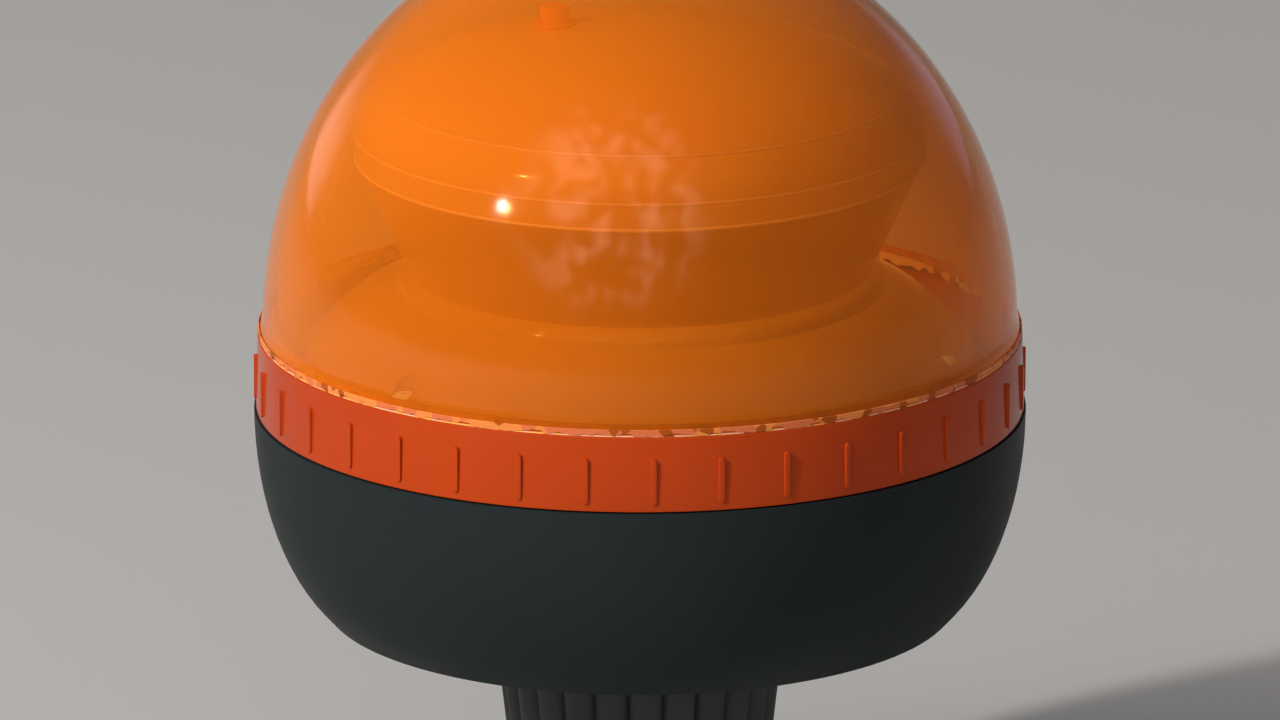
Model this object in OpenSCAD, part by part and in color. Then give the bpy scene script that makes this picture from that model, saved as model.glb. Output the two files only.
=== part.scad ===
// Pole-mounted beacon: an amber domed lens on a ribbed twist-off collar, a clear
// inner optic over a ring of lamps, a bowl-shaped base and a fluted flexible socket.
// Millimetres. +Z is up, and the origin is the centre of the socket's mouth.

/* [Pole socket] */
// Radius of the bore that the pole's spigot slides into
bore_r = 12.3; // [11:0.1:14.5]
// Depth of the bore, from the mouth to the contact carrier
bore_depth = 52; // [42:1:56]
// Wall of the metal sleeve round the bore
sleeve_wall = 2.7; // [2:0.1:3.2]
// Length of the flexible socket below the base
socket_l = 70; // [66:1:90]
// Radius over the flutes at the mouth
mouth_r = 22.5; // [21.5:0.5:26]
// Radius over the flutes under the base
shoulder_r = 28; // [26:0.5:33]
// How sharply the socket swells towards the base
flare = 2.2; // [1:0.1:3]
// Number of flutes
flutes = 24; // [16:1:30]
// Angle from +X to the first groove
flute_angle = 10; // [0:1:15]
// Depth of the groove between two flutes
flute_depth = 1.8; // [0.8:0.1:2.2]
// Height of the plain bands above and below the flutes
band_h = 5; // [3:0.5:8]
// How far the plain bands stand proud of the flutes
band_proud = 0.4; // [0.2:0.1:1]
// Radius of the neck that passes through the base's floor
neck_r = 22; // [19:0.5:24]
// Radius of the flange that is clamped inside the base
flange_r = 31; // [30:0.5:34]
// Thickness of that flange
flange_t = 4; // [3:0.5:6]
// Radius of the wire duct above the sleeve
duct_r = 8; // [6:0.5:10]
// Height of the clamp screw above the mouth
clamp_z = 16; // [12:0.5:24]
// Radius of the clamp screw
clamp_r = 3; // [2:0.25:4]
// Radius of the brass bush that the clamp screw runs in
bush_r = 5; // [4.5:0.25:6.5]

/* [Contacts] */
// Width of the step in the sleeve that the carrier rests on
step_w = 1; // [0.8:0.1:1.2]
// Depth of the recess in the carrier's face
carrier_recess = 0.5; // [0.3:0.1:1]
// Length of the contact carrier's plug inside the sleeve
carrier_l = 8; // [5:0.5:10]
// Thickness of the carrier's flange
carrier_flange_t = 2; // [1.5:0.25:3]
// Radius of the centre contact's stem
contact_r = 2; // [1.5:0.25:3]
// Radius of the centre contact's head
contact_head_r = 5; // [4:0.25:7]
// Thickness of the centre contact's head
contact_head_t = 1.5; // [1:0.25:2.5]
// Thickness of the earth tab
tab_t = 0.8; // [0.5:0.1:1.2]
// Height of the wire chamber over the carrier
chamber_h = 4; // [3:0.5:6]
// Thickness of an insulated wire
wire_d = 2; // [1.4:0.1:2.6]
// Distance between the centres of the two wires
wire_gap = 7; // [5:0.25:9]

/* [Base housing] */
// Radius of the base at its top edge
base_r = 71; // [68:0.5:80]
// Height of the base, from its underside to its shoulder
base_h = 38; // [36:0.5:46]
// Wall of the base
base_wall = 3; // [2:0.25:4]
// Thickness of the base's floor
floor_t = 3.2; // [2.5:0.1:5]
// Thickness of the pad that the socket's flange lies on
pad_t = 5; // [4.5:0.25:7]
// How far the side's curve would reach inwards at its lowest point
side_in = 22; // [16:0.5:28]
// How far below the underside that lowest point would lie
side_over = 3.4; // [2.5:0.1:6]
// Height of the bevel round the underside
edge_h = 2.3; // [1:0.1:4]
// Width of the bevel round the underside
edge_in = 2.1; // [1:0.1:4]
// Thickness of the shoulder under the collar
shoulder_t = 3; // [2.5:0.25:4]
// Height of the upstand that the collar locks onto
upstand_h = 7; // [6.5:0.25:9]
// Wall of the upstand
upstand_wall = 2.4; // [1.6:0.1:3]

/* [Twist lock] */
// Number of lugs on the collar, and of lips on the base
lugs = 3; // [2:1:4]
// Angle that each lug and each lip covers
lug_arc = 22; // [16:1:26]
// Turn between the stop where the lens is locked and the one where it lifts off
lock_turn = 26; // [24:1:32]
// Angle that a stop covers
stop_arc = 3; // [2:0.5:5]
// Angle between a stop and the lug that rests against it
stop_gap = 0.4; // [0.3:0.1:1]
// How far a lug or lip reaches from its wall
lug_reach = 1.9; // [1.4:0.1:2.6]
// Height of a lug or lip
lug_h = 2.2; // [1.6:0.1:2.5]
// Height of the lugs' undersides above the shoulder
lug_z = 1; // [0.7:0.1:1.4]
// Angle from +X to the first lug
lug_start = 30; // [0:5:90]
// Clearance between the lens unit and the base
turn_gap = 0.3; // [0.2:0.05:0.5]

/* [Lens] */
// Height of the collar
collar_h = 13.9; // [12.5:0.1:18]
// Wall of the collar
collar_wall = 2.3; // [1.8:0.1:3]
// How much the collar's outside draws in towards its top
collar_draft = 0.4; // [0.2:0.1:0.8]
// Number of grip ribs
ribs = 36; // [24:1:48]
// Width of a grip rib
rib_w = 1.3; // [0.8:0.1:2]
// Height of a grip rib
rib_h = 8.5; // [6:0.5:10]
// How far a grip rib stands proud of the collar
rib_proud = 0.35; // [0.2:0.05:0.8]
// Gap between the collar's lower edge and a rib
rib_low = 1.4; // [0.8:0.1:2.5]
// Angle from the front, -Y, to the nearest rib
rib_turn = 2; // [0:0.5:10]
// How far the dome steps in from the collar's top edge
dome_step = 0.9; // [0.4:0.1:2]
// Height of the flared foot that steps in
foot_h = 3.3; // [2:0.1:6]
// Height of the dome above the middle of its curve
dome_rise = 76; // [72:1:90]
// Height of the middle of that curve above the collar
dome_low = 1.4; // [0.5:0.1:2]
// Wall of the dome
dome_wall = 2.5; // [1.8:0.1:3.5]
// Depth of the dome's spigot inside the collar
spigot_h = 2; // [1:0.25:3]
// Wall of the dome's spigot
spigot_wall = 2; // [1.4:0.1:3]
// Width of the flat lens seal
seal_w = 1.6; // [1.2:0.1:1.9]
// Thickness of the flat lens seal
seal_t = 1.6; // [1:0.1:2]

/* [Inner optic] */
// Clearance between the optic's flange and the upstand
optic_gap = 2; // [1.5:0.1:4]
// Wall of the optic
optic_wall = 2; // [1.5:0.1:2.5]
// Height of the flange's upright edge
flange_edge_h = 9; // [7:0.25:11]
// Width and height of the rounded edge above it
edge_round_w = 1.6; // [1:0.1:2.5]
edge_round_h = 2.2; // [1:0.1:3]
// Height of the neck's foot above the optic's seat
neck_foot_z = 22.4; // [20:0.1:26]
// How far the neck's foot lies inside the flange's edge
neck_foot_in = 16.5; // [14:0.25:20]
// Width and height of the neck's rounded step
neck_step_w = 2.7; // [1.5:0.1:4]
neck_step_h = 3.2; // [2:0.1:5]
// Height of the cone above the neck
cone_h = 21; // [17:0.5:24]
// How far the cone opens from neck to rim
cone_out = 9.7; // [6:0.1:12]
// Height of the cap's upright rim
rim_h = 4.8; // [3:0.1:7]
// Rise of the cap's dome
cap_rise = 20; // [15:0.5:23]
// Depth of the cap's spigot inside the cone
cap_spigot_h = 2; // [1:0.25:3]
// Place of the vent plug on the cap
vent_x = -15.6; // [-22:0.1:-10]
vent_y = 3.5; // [-8:0.1:8]
// Radius and height of the vent plug's stud
vent_r = 2.75; // [2:0.05:3.2]
vent_h = 3; // [2:0.1:5]
// Radius and thickness of the vent plug's flange
vent_flange_r = 3.75; // [3.5:0.05:5]
vent_flange_t = 1.2; // [0.8:0.1:2]
// Radius and length of the vent plug's stem
vent_stem_r = 1.5; // [1:0.1:1.9]
vent_stem_l = 3; // [2.5:0.25:5]

/* [Lamps and driver] */
// Thickness of the heat sink plate
sink_t = 3; // [2:0.25:4]
// How far the plate stands above the base's shoulder
sink_up = 1; // [0.5:0.1:1.5]
// Clearance between the plate and the upstand
sink_gap = 1; // [0.5:0.1:1.4]
// Thickness of both circuit boards
board_t = 1.6; // [1:0.1:2]
// Radius of the lamp board
lamp_board_r = 44; // [41:0.5:50]
// Number of lamps
lamps = 12; // [8:1:16]
// Radius of the ring of lamps
lamp_ring_r = 36; // [33:0.5:38]
// Side and height of a lamp's body
lamp_w = 5; // [4:0.25:6]
lamp_h = 1.4; // [1:0.1:2]
// Radius of a lamp's round window
lamp_window_r = 1.8; // [1.2:0.1:1.9]
// Radius of the driver board
driver_board_r = 46; // [44:0.5:48]
// Height of the driver board above the base's underside
driver_z = 20; // [18:0.5:22]
// Radius of the hole in the driver board
driver_hole_r = 8; // [7:0.5:10]
// Radius and height of a capacitor
cap_r = 5; // [4:0.25:6]
cap_h = 10.5; // [8:0.25:11]
// Radius, bore and height of the coil
coil_r = 8; // [6:0.25:9]
coil_bore_r = 3; // [2:0.25:4]
coil_h = 7; // [5:0.25:9]
// Length, depth and height of the terminal block
terminal_l = 16; // [14:0.5:20]
terminal_w = 9; // [7:0.5:11]
terminal_h = 9; // [7:0.5:10.5]
// Distance from the middle to the terminal block's near face
terminal_y = 15; // [13:0.5:18]
// Length and width of the pin header between the boards
header_l = 12; // [8:0.5:16]
header_w = 5; // [4:0.25:6]
// Distance from the middle to the pin header
header_y = 25; // [22:0.5:28]
// Space between the board's hole and the capacitors or the coil
part_gap = 5; // [4:0.25:6]

/* [Screws] */
// Radius of the optic's and the board's screws
small_screw_r = 1.5; // [1.2:0.05:1.7]
// Radius and height of their heads
small_head_r = 2.25; // [2:0.05:2.5]
small_head_h = 1.5; // [1:0.1:2]
// Number of optic screws
optic_screws_n = 3; // [3:1:4]
// Angle from +X to the first optic screw
optic_screw_start = -17; // [-30:1:0]
// How far the optic screws lie inside the flange's edge
optic_screw_in = 3.4; // [3.2:0.1:5]
// Height of their seats above the optic's seat
optic_screw_z = 11.4; // [9:0.1:12]
// Depth of the optic screws in the base's bosses
optic_screw_bite = 10; // [6:0.5:14]
// Number of board screws
board_screws_n = 3; // [3:1:4]
// Angle from the first optic screw to the first board screw
board_screw_angle = 60; // [50:1:70]
// Radius of the circle of board screws
board_screw_ring = 40; // [38:0.5:41]
// Depth of the board screws in their posts
board_screw_bite = 8; // [5:0.5:11]
// Wall round a screw in a boss or post
boss_wall = 2.3; // [1.5:0.1:2.5]
// Radius of the socket screws
big_screw_r = 2; // [1.5:0.1:2.3]
// Radius and height of their heads
big_head_r = 3.6; // [3:0.1:3.8]
big_head_h = 2.4; // [1.8:0.1:3]
// Number of socket screws
socket_screws_n = 4; // [3:1:6]
// Depth of the socket screws in the pad
socket_screw_bite = 3.4; // [2.5:0.1:3.8]
// Thickness of the clamping plate
plate_t = 2; // [1.5:0.1:3]
// Clearance round a screw, a stem or a plug that fits in a hole
fit_gap = 0.05; // [0.02:0.01:0.1]
// Clearance round a loosely fitted piece
loose_gap = 0.2; // [0.1:0.05:0.3]

/* [Hidden] */
$fn = 96;

// Heights, from the socket's mouth upwards
top_z = socket_l + base_h;
pad_z = socket_l + pad_t;
plate_z = pad_z + flange_t;
board_z = socket_l + driver_z;
parts_z = board_z + board_t;
sink_z = top_z + sink_up - sink_t;
seat_z = top_z + sink_up;
collar_z = top_z + turn_gap;
rim_z = collar_z + collar_h;
carrier_z = bore_depth;
contact_z = carrier_z + carrier_recess;
sleeve_l = bore_depth + carrier_l;
flange_z = sleeve_l + tab_t;
chamber_z = flange_z + carrier_flange_t + chamber_h;
stem_top = chamber_z - chamber_h / 2;
tab_top = chamber_z - chamber_h * 3 / 4;

// Radii, from the collar inwards
collar_r = base_r - rib_proud;
collar_in_r = collar_r - collar_wall;
lip_r = collar_in_r - turn_gap;
upstand_r = lip_r - lug_reach;
lug_in_r = upstand_r + turn_gap;
upstand_in_r = upstand_r - upstand_wall;
seal_in_r = lip_r + turn_gap;
seal_out_r = seal_in_r + seal_w;
optic_r = upstand_in_r - optic_gap;
sink_r = upstand_in_r - sink_gap;
optic_screw_ring = optic_r - optic_screw_in;
neck_foot_r = optic_r - neck_foot_in;
cone_r = neck_foot_r - neck_step_w;
rim_r = cone_r + cone_out;
rim_top_r = collar_r - collar_draft;
dome_r = rim_top_r - dome_step;
sleeve_r = bore_r + sleeve_wall;
step_r = bore_r + step_w;
boss_r = small_screw_r + boss_wall;
socket_screw_ring = (neck_r + flange_r) / 2;
vent_ring = norm([vent_x, vent_y]);

// Heights inside the optic
neck_z = seat_z + neck_foot_z;
cone_z = neck_z + neck_step_h;
cone_top_z = cone_z + cone_h;
cap_z = cone_top_z + rim_h;

// Heights of the lock, with the lips as far above the lugs as the collar floats
lug_low_z = top_z + lug_z;
lip_z = lug_low_z + lug_h + turn_gap;

// Points along part of an ellipse, from one angle to another
function ellipse_arc(mid, wide, high, from, to, steps) =
    [for (i = [0:steps]) let (t = from + (to - from) * i / steps)
        [mid[0] + wide * cos(t), mid[1] + high * sin(t)]];

// Points along a curve that leaves a for b and arrives at c
function bend(a, b, c, steps) =
    [for (i = [0:steps]) let (t = i / steps)
        a * (1 - t) * (1 - t) + b * 2 * t * (1 - t) + c * t * t];

// Copies its children round the axis
module ring_of(count, start) {
    for (i = [0:count - 1]) rotate(start + i * 360 / count) children();
}

// A block that bends round the axis between two radii
module ring_block(inner, outer, low, high, arc) {
    rotate(-arc / 2) rotate_extrude(angle = arc)
        translate([inner, low]) square([outer - inner, high - low]);
}

// A round-headed screw that points down, with its head's seat at the origin
module screw(r, length, head_r, head_h) {
    translate([0, 0, -length]) cylinder(r = r, h = length + head_h / 2);
    difference() {
        rotate_extrude() polygon(concat([[0, 0], [head_r, 0]],
            ellipse_arc([0, head_h / 2], head_r, head_h / 2, 0, 90, 6)));
        for (turn = [0, 90]) rotate(turn) translate([0, 0, head_h])
            cube([head_r * 1.2, head_r * 0.28, head_h], center = true);
    }
}

// A round wire through the given points
module wire(points) {
    sides = 8;
    last = len(points) - 1;
    function along(i) = points[min(i + 1, last)] - points[max(i - 1, 0)];
    function unit(v) = v / norm(v);
    rings = [for (i = [0:last]) let (
            way = unit(along(i)),
            side = unit(cross(way, [0.3, 1, 0.2])),
            up = cross(side, way))
        for (k = [0:sides - 1]) points[i]
            + wire_d / 2 * (side * cos(k * 360 / sides) + up * sin(k * 360 / sides))];
    skins = [for (i = [0:last - 1], k = [0:sides - 1]) let (
            a = i * sides + k,
            b = i * sides + (k + 1) % sides)
        each [[a, b, b + sides], [a, b + sides, a + sides]]];
    ends = [[for (k = [sides - 1:-1:0]) k], [for (k = [0:sides - 1]) last * sides + k]];
    polyhedron(rings, concat(skins, ends));
}

// The socket's radius over its flutes at a height above the mouth
function socket_r(z) = mouth_r + (shoulder_r - mouth_r) * pow(z / socket_l, flare);

// How far the surface lies below the flutes at an angle round the socket
function groove(turn) = flute_depth * (1 - sqrt(abs(sin((turn - flute_angle) * flutes / 2))));

// The fluted length of the socket, lofted through rings that follow its flare
module fluted_body(low, high) {
    levels = 6;
    per_flute = 8;
    count = flutes * per_flute;
    points = [for (j = [0:levels], i = [0:count - 1]) let (
            z = low + (high - low) * j / levels,
            turn = i * 360 / count,
            r = socket_r(z) - groove(turn))
        [r * cos(turn), r * sin(turn), z]];
    skins = [for (j = [0:levels - 1], i = [0:count - 1]) let (
            a = j * count + i,
            b = j * count + (i + 1) % count)
        each [[a, b + count, b], [a, a + count, b + count]]];
    ends = [[for (i = [0:count - 1]) i], [for (i = [count - 1:-1:0]) levels * count + i]];
    polyhedron(points, concat(skins, ends));
}

// The rubber socket, with a flange that is clamped inside the base
module pole_socket() {
    overlap = band_h / 4;
    color("#3a3c3e") difference() {
        union() {
            fluted_body(band_h - overlap, socket_l - band_h + overlap);
            cylinder(r = mouth_r + band_proud, h = band_h);
            translate([0, 0, socket_l - band_h]) cylinder(r = shoulder_r + band_proud, h = band_h);
            cylinder(r = neck_r, h = plate_z);
            translate([0, 0, pad_z]) cylinder(r = flange_r, h = flange_t);
        }
        translate([0, 0, -1]) cylinder(r = sleeve_r + fit_gap, h = chamber_z + 1);
        cylinder(r = duct_r, h = plate_z + 1);
        translate([0, 0, clamp_z]) rotate([-90, 0, 0])
            cylinder(r = bush_r + fit_gap, h = 2 * mouth_r);
        translate([0, 0, plate_z - flange_t / 2])
            ring_of(socket_screws_n, 45)
                translate([socket_screw_ring, 0, 0])
                    cylinder(r = big_screw_r + fit_gap, h = flange_t + 2, center = true);
    }
}

// The metal sleeve that the pole's spigot slides into
module pole_sleeve() {
    color("#b9bcc0") difference() {
        cylinder(r = sleeve_r, h = sleeve_l);
        translate([0, 0, -1]) cylinder(r = bore_r, h = sleeve_l + 2);
        translate([0, 0, carrier_z]) cylinder(r = step_r, h = carrier_l + 1);
        translate([0, 0, clamp_z]) rotate([-90, 0, 0])
            cylinder(r = clamp_r + loose_gap, h = 2 * sleeve_r);
    }
}

// The insulator that closes the bore and holds the centre contact
module contact_carrier() {
    color("#d9d2bf") difference() {
        union() {
            translate([0, 0, carrier_z]) cylinder(r = step_r - fit_gap, h = flange_z - carrier_z);
            translate([0, 0, flange_z]) cylinder(r = sleeve_r - fit_gap, h = carrier_flange_t);
        }
        translate([0, 0, carrier_z - 1])
            cylinder(r = contact_r + fit_gap, h = chamber_z - carrier_z);
        translate([0, 0, carrier_z - 1])
            cylinder(r = contact_head_r + fit_gap, h = carrier_recess + contact_head_t + 1);
        translate([0, 0, carrier_z - 1])
            cylinder(r = (bore_r + step_r) / 2, h = carrier_recess + 1);
        translate([step_r - loose_gap, -wire_d, flange_z - 1])
            cube([sleeve_wall + 1, 2 * wire_d, carrier_flange_t + 2]);
    }
}

// The contact that meets the pole's own, with its head set back in the carrier
module centre_contact() {
    color("#c9a24a") translate([0, 0, contact_z]) {
        cylinder(r = contact_head_r, h = contact_head_t);
        cylinder(r = contact_r, h = stem_top - contact_z);
    }
}

// The ring between sleeve and carrier that takes the earth wire
module earth_tab() {
    color("#c9a24a") {
        translate([0, 0, sleeve_l]) difference() {
            cylinder(r = sleeve_r - fit_gap, h = tab_t);
            translate([0, 0, -1]) cylinder(r = step_r + fit_gap, h = tab_t + 2);
        }
        translate([step_r + loose_gap, -wire_d / 2, sleeve_l])
            cube([sleeve_wall / 2, wire_d, tab_top - sleeve_l]);
    }
}

// The brass bush in the socket's wall
module clamp_bush() {
    color("#c9a24a") translate([0, sleeve_r + loose_gap, clamp_z]) rotate([-90, 0, 0])
        difference() {
            cylinder(r = bush_r, h = mouth_r - sleeve_r - loose_gap);
            translate([0, 0, -1]) cylinder(r = clamp_r + fit_gap, h = mouth_r - sleeve_r + 2);
        }
}

// The hex-socket screw that clamps the pole, backed off clear of the bore
module clamp_screw() {
    color("#8e9296") translate([0, bore_r + loose_gap, clamp_z]) rotate([-90, 0, 0])
        difference() {
            cylinder(r = clamp_r, h = mouth_r - bore_r - loose_gap);
            translate([0, 0, mouth_r - bore_r - loose_gap - clamp_r])
                cylinder(r = clamp_r * 0.55, h = clamp_r + 1, $fn = 6);
        }
}

// The outside of the base, from its underside up to its shoulder
side_mid_r = base_r - side_in;
side_reach = base_h + side_over;
side_end = asin((base_h - edge_h) / side_reach);
side_end_r = side_mid_r + side_in * cos(side_end);
side_curve = ellipse_arc([side_mid_r, top_z], side_in, -side_reach, side_end, 0, 14);
base_outside = concat([[side_end_r - edge_in, socket_l]], side_curve);

// The inside of the base, from under its shoulder down to its floor
inner_reach = side_reach - base_wall;
base_inside = ellipse_arc([side_mid_r, top_z], side_in - base_wall, -inner_reach,
    asin(shoulder_t / inner_reach), asin((base_h - floor_t) / inner_reach), 12);

// The bowl, its shoulder with the seal's groove, and the upstand
base_section = concat(
    [[neck_r + fit_gap, socket_l]],
    base_outside,
    [[seal_out_r + fit_gap, top_z],
        [seal_out_r + fit_gap, top_z - seal_t],
        [seal_in_r - fit_gap, top_z - seal_t],
        [seal_in_r - fit_gap, top_z],
        [upstand_r, top_z],
        [upstand_r, top_z + upstand_h],
        [upstand_in_r, top_z + upstand_h],
        [upstand_in_r, top_z - shoulder_t]],
    base_inside,
    [[flange_r + boss_wall, socket_l + floor_t],
        [flange_r + boss_wall, pad_z],
        [neck_r + fit_gap, pad_z]]);

// The bowl-shaped base
module base_housing() {
    screw_z = sink_z - optic_screw_bite;
    stop_lap = stop_gap + stop_arc / 2;
    color("#33393c") difference() {
        union() {
            rotate_extrude() polygon(base_section);
            intersection() {
                translate([0, 0, socket_l + floor_t / 2]) {
                    ring_of(optic_screws_n, optic_screw_start)
                        translate([optic_screw_ring, 0, 0])
                            cylinder(r = boss_r, h = sink_z - socket_l - floor_t / 2);
                    ring_of(board_screws_n, optic_screw_start + board_screw_angle)
                        translate([board_screw_ring, 0, 0])
                            cylinder(r = boss_r, h = board_z - socket_l - floor_t / 2);
                }
                rotate_extrude() polygon(concat([[0, socket_l]], base_outside, [[0, top_z]]));
            }
            ring_of(lugs, lug_start) {
                rotate(-stop_lap / 2)
                    ring_block(upstand_in_r + upstand_wall / 2, lip_r, lip_z, lip_z + lug_h,
                        lug_arc + stop_lap);
                for (turn = [-(lug_arc + stop_arc) / 2 - stop_gap,
                        lock_turn + (lug_arc + stop_arc) / 2 + stop_gap])
                    rotate(turn) ring_block(upstand_in_r + upstand_wall / 2, lip_r - loose_gap,
                        top_z - shoulder_t / 2, lip_z + lug_h / 2, stop_arc);
            }
        }
        ring_of(optic_screws_n, optic_screw_start)
            translate([optic_screw_ring, 0, screw_z])
                cylinder(r = small_screw_r + fit_gap, h = optic_screw_bite + 1);
        ring_of(board_screws_n, optic_screw_start + board_screw_angle)
            translate([board_screw_ring, 0, board_z - board_screw_bite])
                cylinder(r = small_screw_r + fit_gap, h = board_screw_bite + 1);
        ring_of(socket_screws_n, 45)
            translate([socket_screw_ring, 0, pad_z - socket_screw_bite - fit_gap])
                cylinder(r = big_screw_r + fit_gap, h = socket_screw_bite + 1);
    }
}

// The steel plate that clamps the socket's flange
module socket_plate() {
    color("#9da1a5") translate([0, 0, plate_z]) difference() {
        cylinder(r = flange_r, h = plate_t);
        translate([0, 0, -1]) cylinder(r = duct_r + loose_gap, h = plate_t + 2);
        ring_of(socket_screws_n, 45) translate([socket_screw_ring, 0, -1])
            cylinder(r = big_screw_r + fit_gap, h = plate_t + 2);
    }
}

// The screws that hold the plate, the flange and the base together
module socket_screws() {
    color("#8e9296") ring_of(socket_screws_n, 45)
        translate([socket_screw_ring, 0, plate_z + plate_t])
            screw(big_screw_r, plate_t + flange_t + socket_screw_bite, big_head_r, big_head_h);
}

// The driver's circuit board
module driver_board() {
    color("#2f6b3c") translate([0, 0, board_z]) difference() {
        cylinder(r = driver_board_r, h = board_t);
        translate([0, 0, -1]) cylinder(r = driver_hole_r, h = board_t + 2);
        ring_of(board_screws_n, optic_screw_start + board_screw_angle)
            translate([board_screw_ring, 0, -1])
                cylinder(r = small_screw_r + fit_gap, h = board_t + 2);
    }
}

// The screws that hold the driver board on its posts
module board_screws() {
    color("#8e9296") ring_of(board_screws_n, optic_screw_start + board_screw_angle)
        translate([board_screw_ring, 0, parts_z])
            screw(small_screw_r, board_t + board_screw_bite - fit_gap, small_head_r, small_head_h);
}

// The smoothing capacitors, each with a waist under its sleeve's top
module driver_capacitors() {
    waist = cap_r / 10;
    color("#26324a") for (side = [-1, 1])
        translate([side * (cap_r + driver_hole_r + part_gap), 2 * cap_r, parts_z])
            rotate_extrude() polygon([[0, 0], [cap_r, 0], [cap_r, cap_h / 8],
                [cap_r - waist, cap_h / 6], [cap_r, cap_h / 4], [cap_r, cap_h - waist],
                [cap_r - waist, cap_h], [0, cap_h]]);
}

// The driver's wound coil
module driver_coil() {
    color("#8a4b22") translate([-driver_hole_r - coil_r - part_gap, -coil_r, parts_z]) difference() {
        cylinder(r = coil_r, h = coil_h);
        translate([0, 0, -1]) cylinder(r = coil_bore_r, h = coil_h + 2);
    }
}

// The block that both wires end in
module terminal_block() {
    step = terminal_h / 4;
    color("#3d7a4a") translate([0, -terminal_y - terminal_w, parts_z]) difference() {
        translate([-terminal_l / 2, 0, 0]) cube([terminal_l, terminal_w, terminal_h]);
        for (side = [-1, 1]) translate([side * wire_gap / 2, 0, 0]) {
            translate([0, terminal_w / 2, terminal_h / 2]) rotate([-90, 0, 0])
                cylinder(r = wire_d / 2 + loose_gap, h = terminal_w);
            translate([0, terminal_w / 3, terminal_h - step])
                cylinder(r = wire_d / 2 + loose_gap, h = terminal_h);
        }
    }
}

// The pin header that joins the driver board to the lamp board
module pin_header() {
    color("#1e1e20") translate([-header_l / 2, header_y - header_w / 2, parts_z])
        cube([header_l, header_w, seat_z - parts_z]);
}

// The feed wire, from the centre contact to the terminal block
wire_end_z = parts_z + terminal_h / 2;
terminal_in = -terminal_y - terminal_w / 2 + loose_gap;
rise_z = (plate_z + board_z) / 2;
module feed_wire() {
    x = -wire_gap / 2;
    color("#a32019") wire([
        [0, 0, stem_top],
        [0, 0, stem_top + 1],
        [-1, 0, stem_top + 3],
        [x, 0, stem_top + 6],
        [x, 0, rise_z],
        [x, -0.5, parts_z],
        [x, -3, wire_end_z - 1],
        [x, -7, wire_end_z],
        [x, terminal_in, wire_end_z]]);
}

// The earth wire, from the earth tab to the terminal block
module earth_wire() {
    x = wire_gap / 2;
    color("#5a3a22") wire([
        [step_r + loose_gap - wire_d / 2, 0, tab_top],
        [bore_r - 3, 0, tab_top + 0.3],
        [duct_r - 1, 0, tab_top + 1.6],
        [x + 1, 0, tab_top + 4],
        [x, 0, tab_top + 8],
        [x, 0, rise_z],
        [x, -0.5, parts_z],
        [x, -3, wire_end_z - 1],
        [x, -7, wire_end_z],
        [x, terminal_in, wire_end_z]]);
}

// The plate that carries the lamps and takes their heat
module heat_sink() {
    color("#a9adb1") translate([0, 0, sink_z]) difference() {
        cylinder(r = sink_r, h = sink_t);
        ring_of(optic_screws_n, optic_screw_start) translate([optic_screw_ring, 0, -1])
            cylinder(r = small_screw_r + fit_gap, h = sink_t + 2);
        translate([-header_l / 2 - loose_gap, header_y - header_w / 2 - loose_gap, -1])
            cube([header_l + 2 * loose_gap, header_w + 2 * loose_gap, sink_t + 2]);
    }
}

// The lamps' circuit board
module lamp_board() {
    color("#e6e6e0") translate([0, 0, seat_z]) cylinder(r = lamp_board_r, h = board_t);
}

// The ring of lamps
module lamps_ring() {
    color("#f0d37a") ring_of(lamps, 0) translate([lamp_ring_r, 0, seat_z + board_t]) {
        translate([0, 0, lamp_h / 2]) cube([lamp_w, lamp_w, lamp_h], center = true);
        intersection() {
            translate([0, 0, lamp_h]) sphere(r = lamp_window_r, $fn = 24);
            cylinder(r = lamp_w, h = lamp_h + lamp_window_r);
        }
    }
}

// The optic's slope, from the rounded flange edge up to the neck's foot
slope_low = [optic_r - edge_round_w, seat_z + flange_edge_h + edge_round_h];
slope_high = [neck_foot_r, neck_z];
slope_bulge = [neck_foot_r + (optic_r - neck_foot_r) * 0.58, neck_z - (neck_z - slope_low[1]) * 0.32];
slope_in = [-optic_wall * 0.6, -optic_wall * 0.9];

// Flange, neck and upward-opening cone, which are one moulding
light_optic_section = concat(
    [[optic_r - optic_wall, seat_z], [optic_r, seat_z], [optic_r, seat_z + flange_edge_h]],
    bend([optic_r, seat_z + flange_edge_h],
        [optic_r, seat_z + flange_edge_h + edge_round_h * 0.6], slope_low, 4),
    bend(slope_low, slope_bulge, slope_high, 8),
    bend(slope_high, [neck_foot_r, cone_z - neck_step_h * 0.3], [cone_r, cone_z], 5),
    [[rim_r, cone_top_z], [rim_r - optic_wall, cone_top_z], [cone_r - optic_wall, cone_z]],
    bend([cone_r - optic_wall, cone_z], [neck_foot_r - optic_wall, cone_z - neck_step_h * 0.3],
        slope_high - [optic_wall, optic_wall / 2], 5),
    bend(slope_high + slope_in, slope_bulge + slope_in, slope_low + slope_in, 8),
    [[optic_r - optic_wall, seat_z + flange_edge_h]]);

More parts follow.
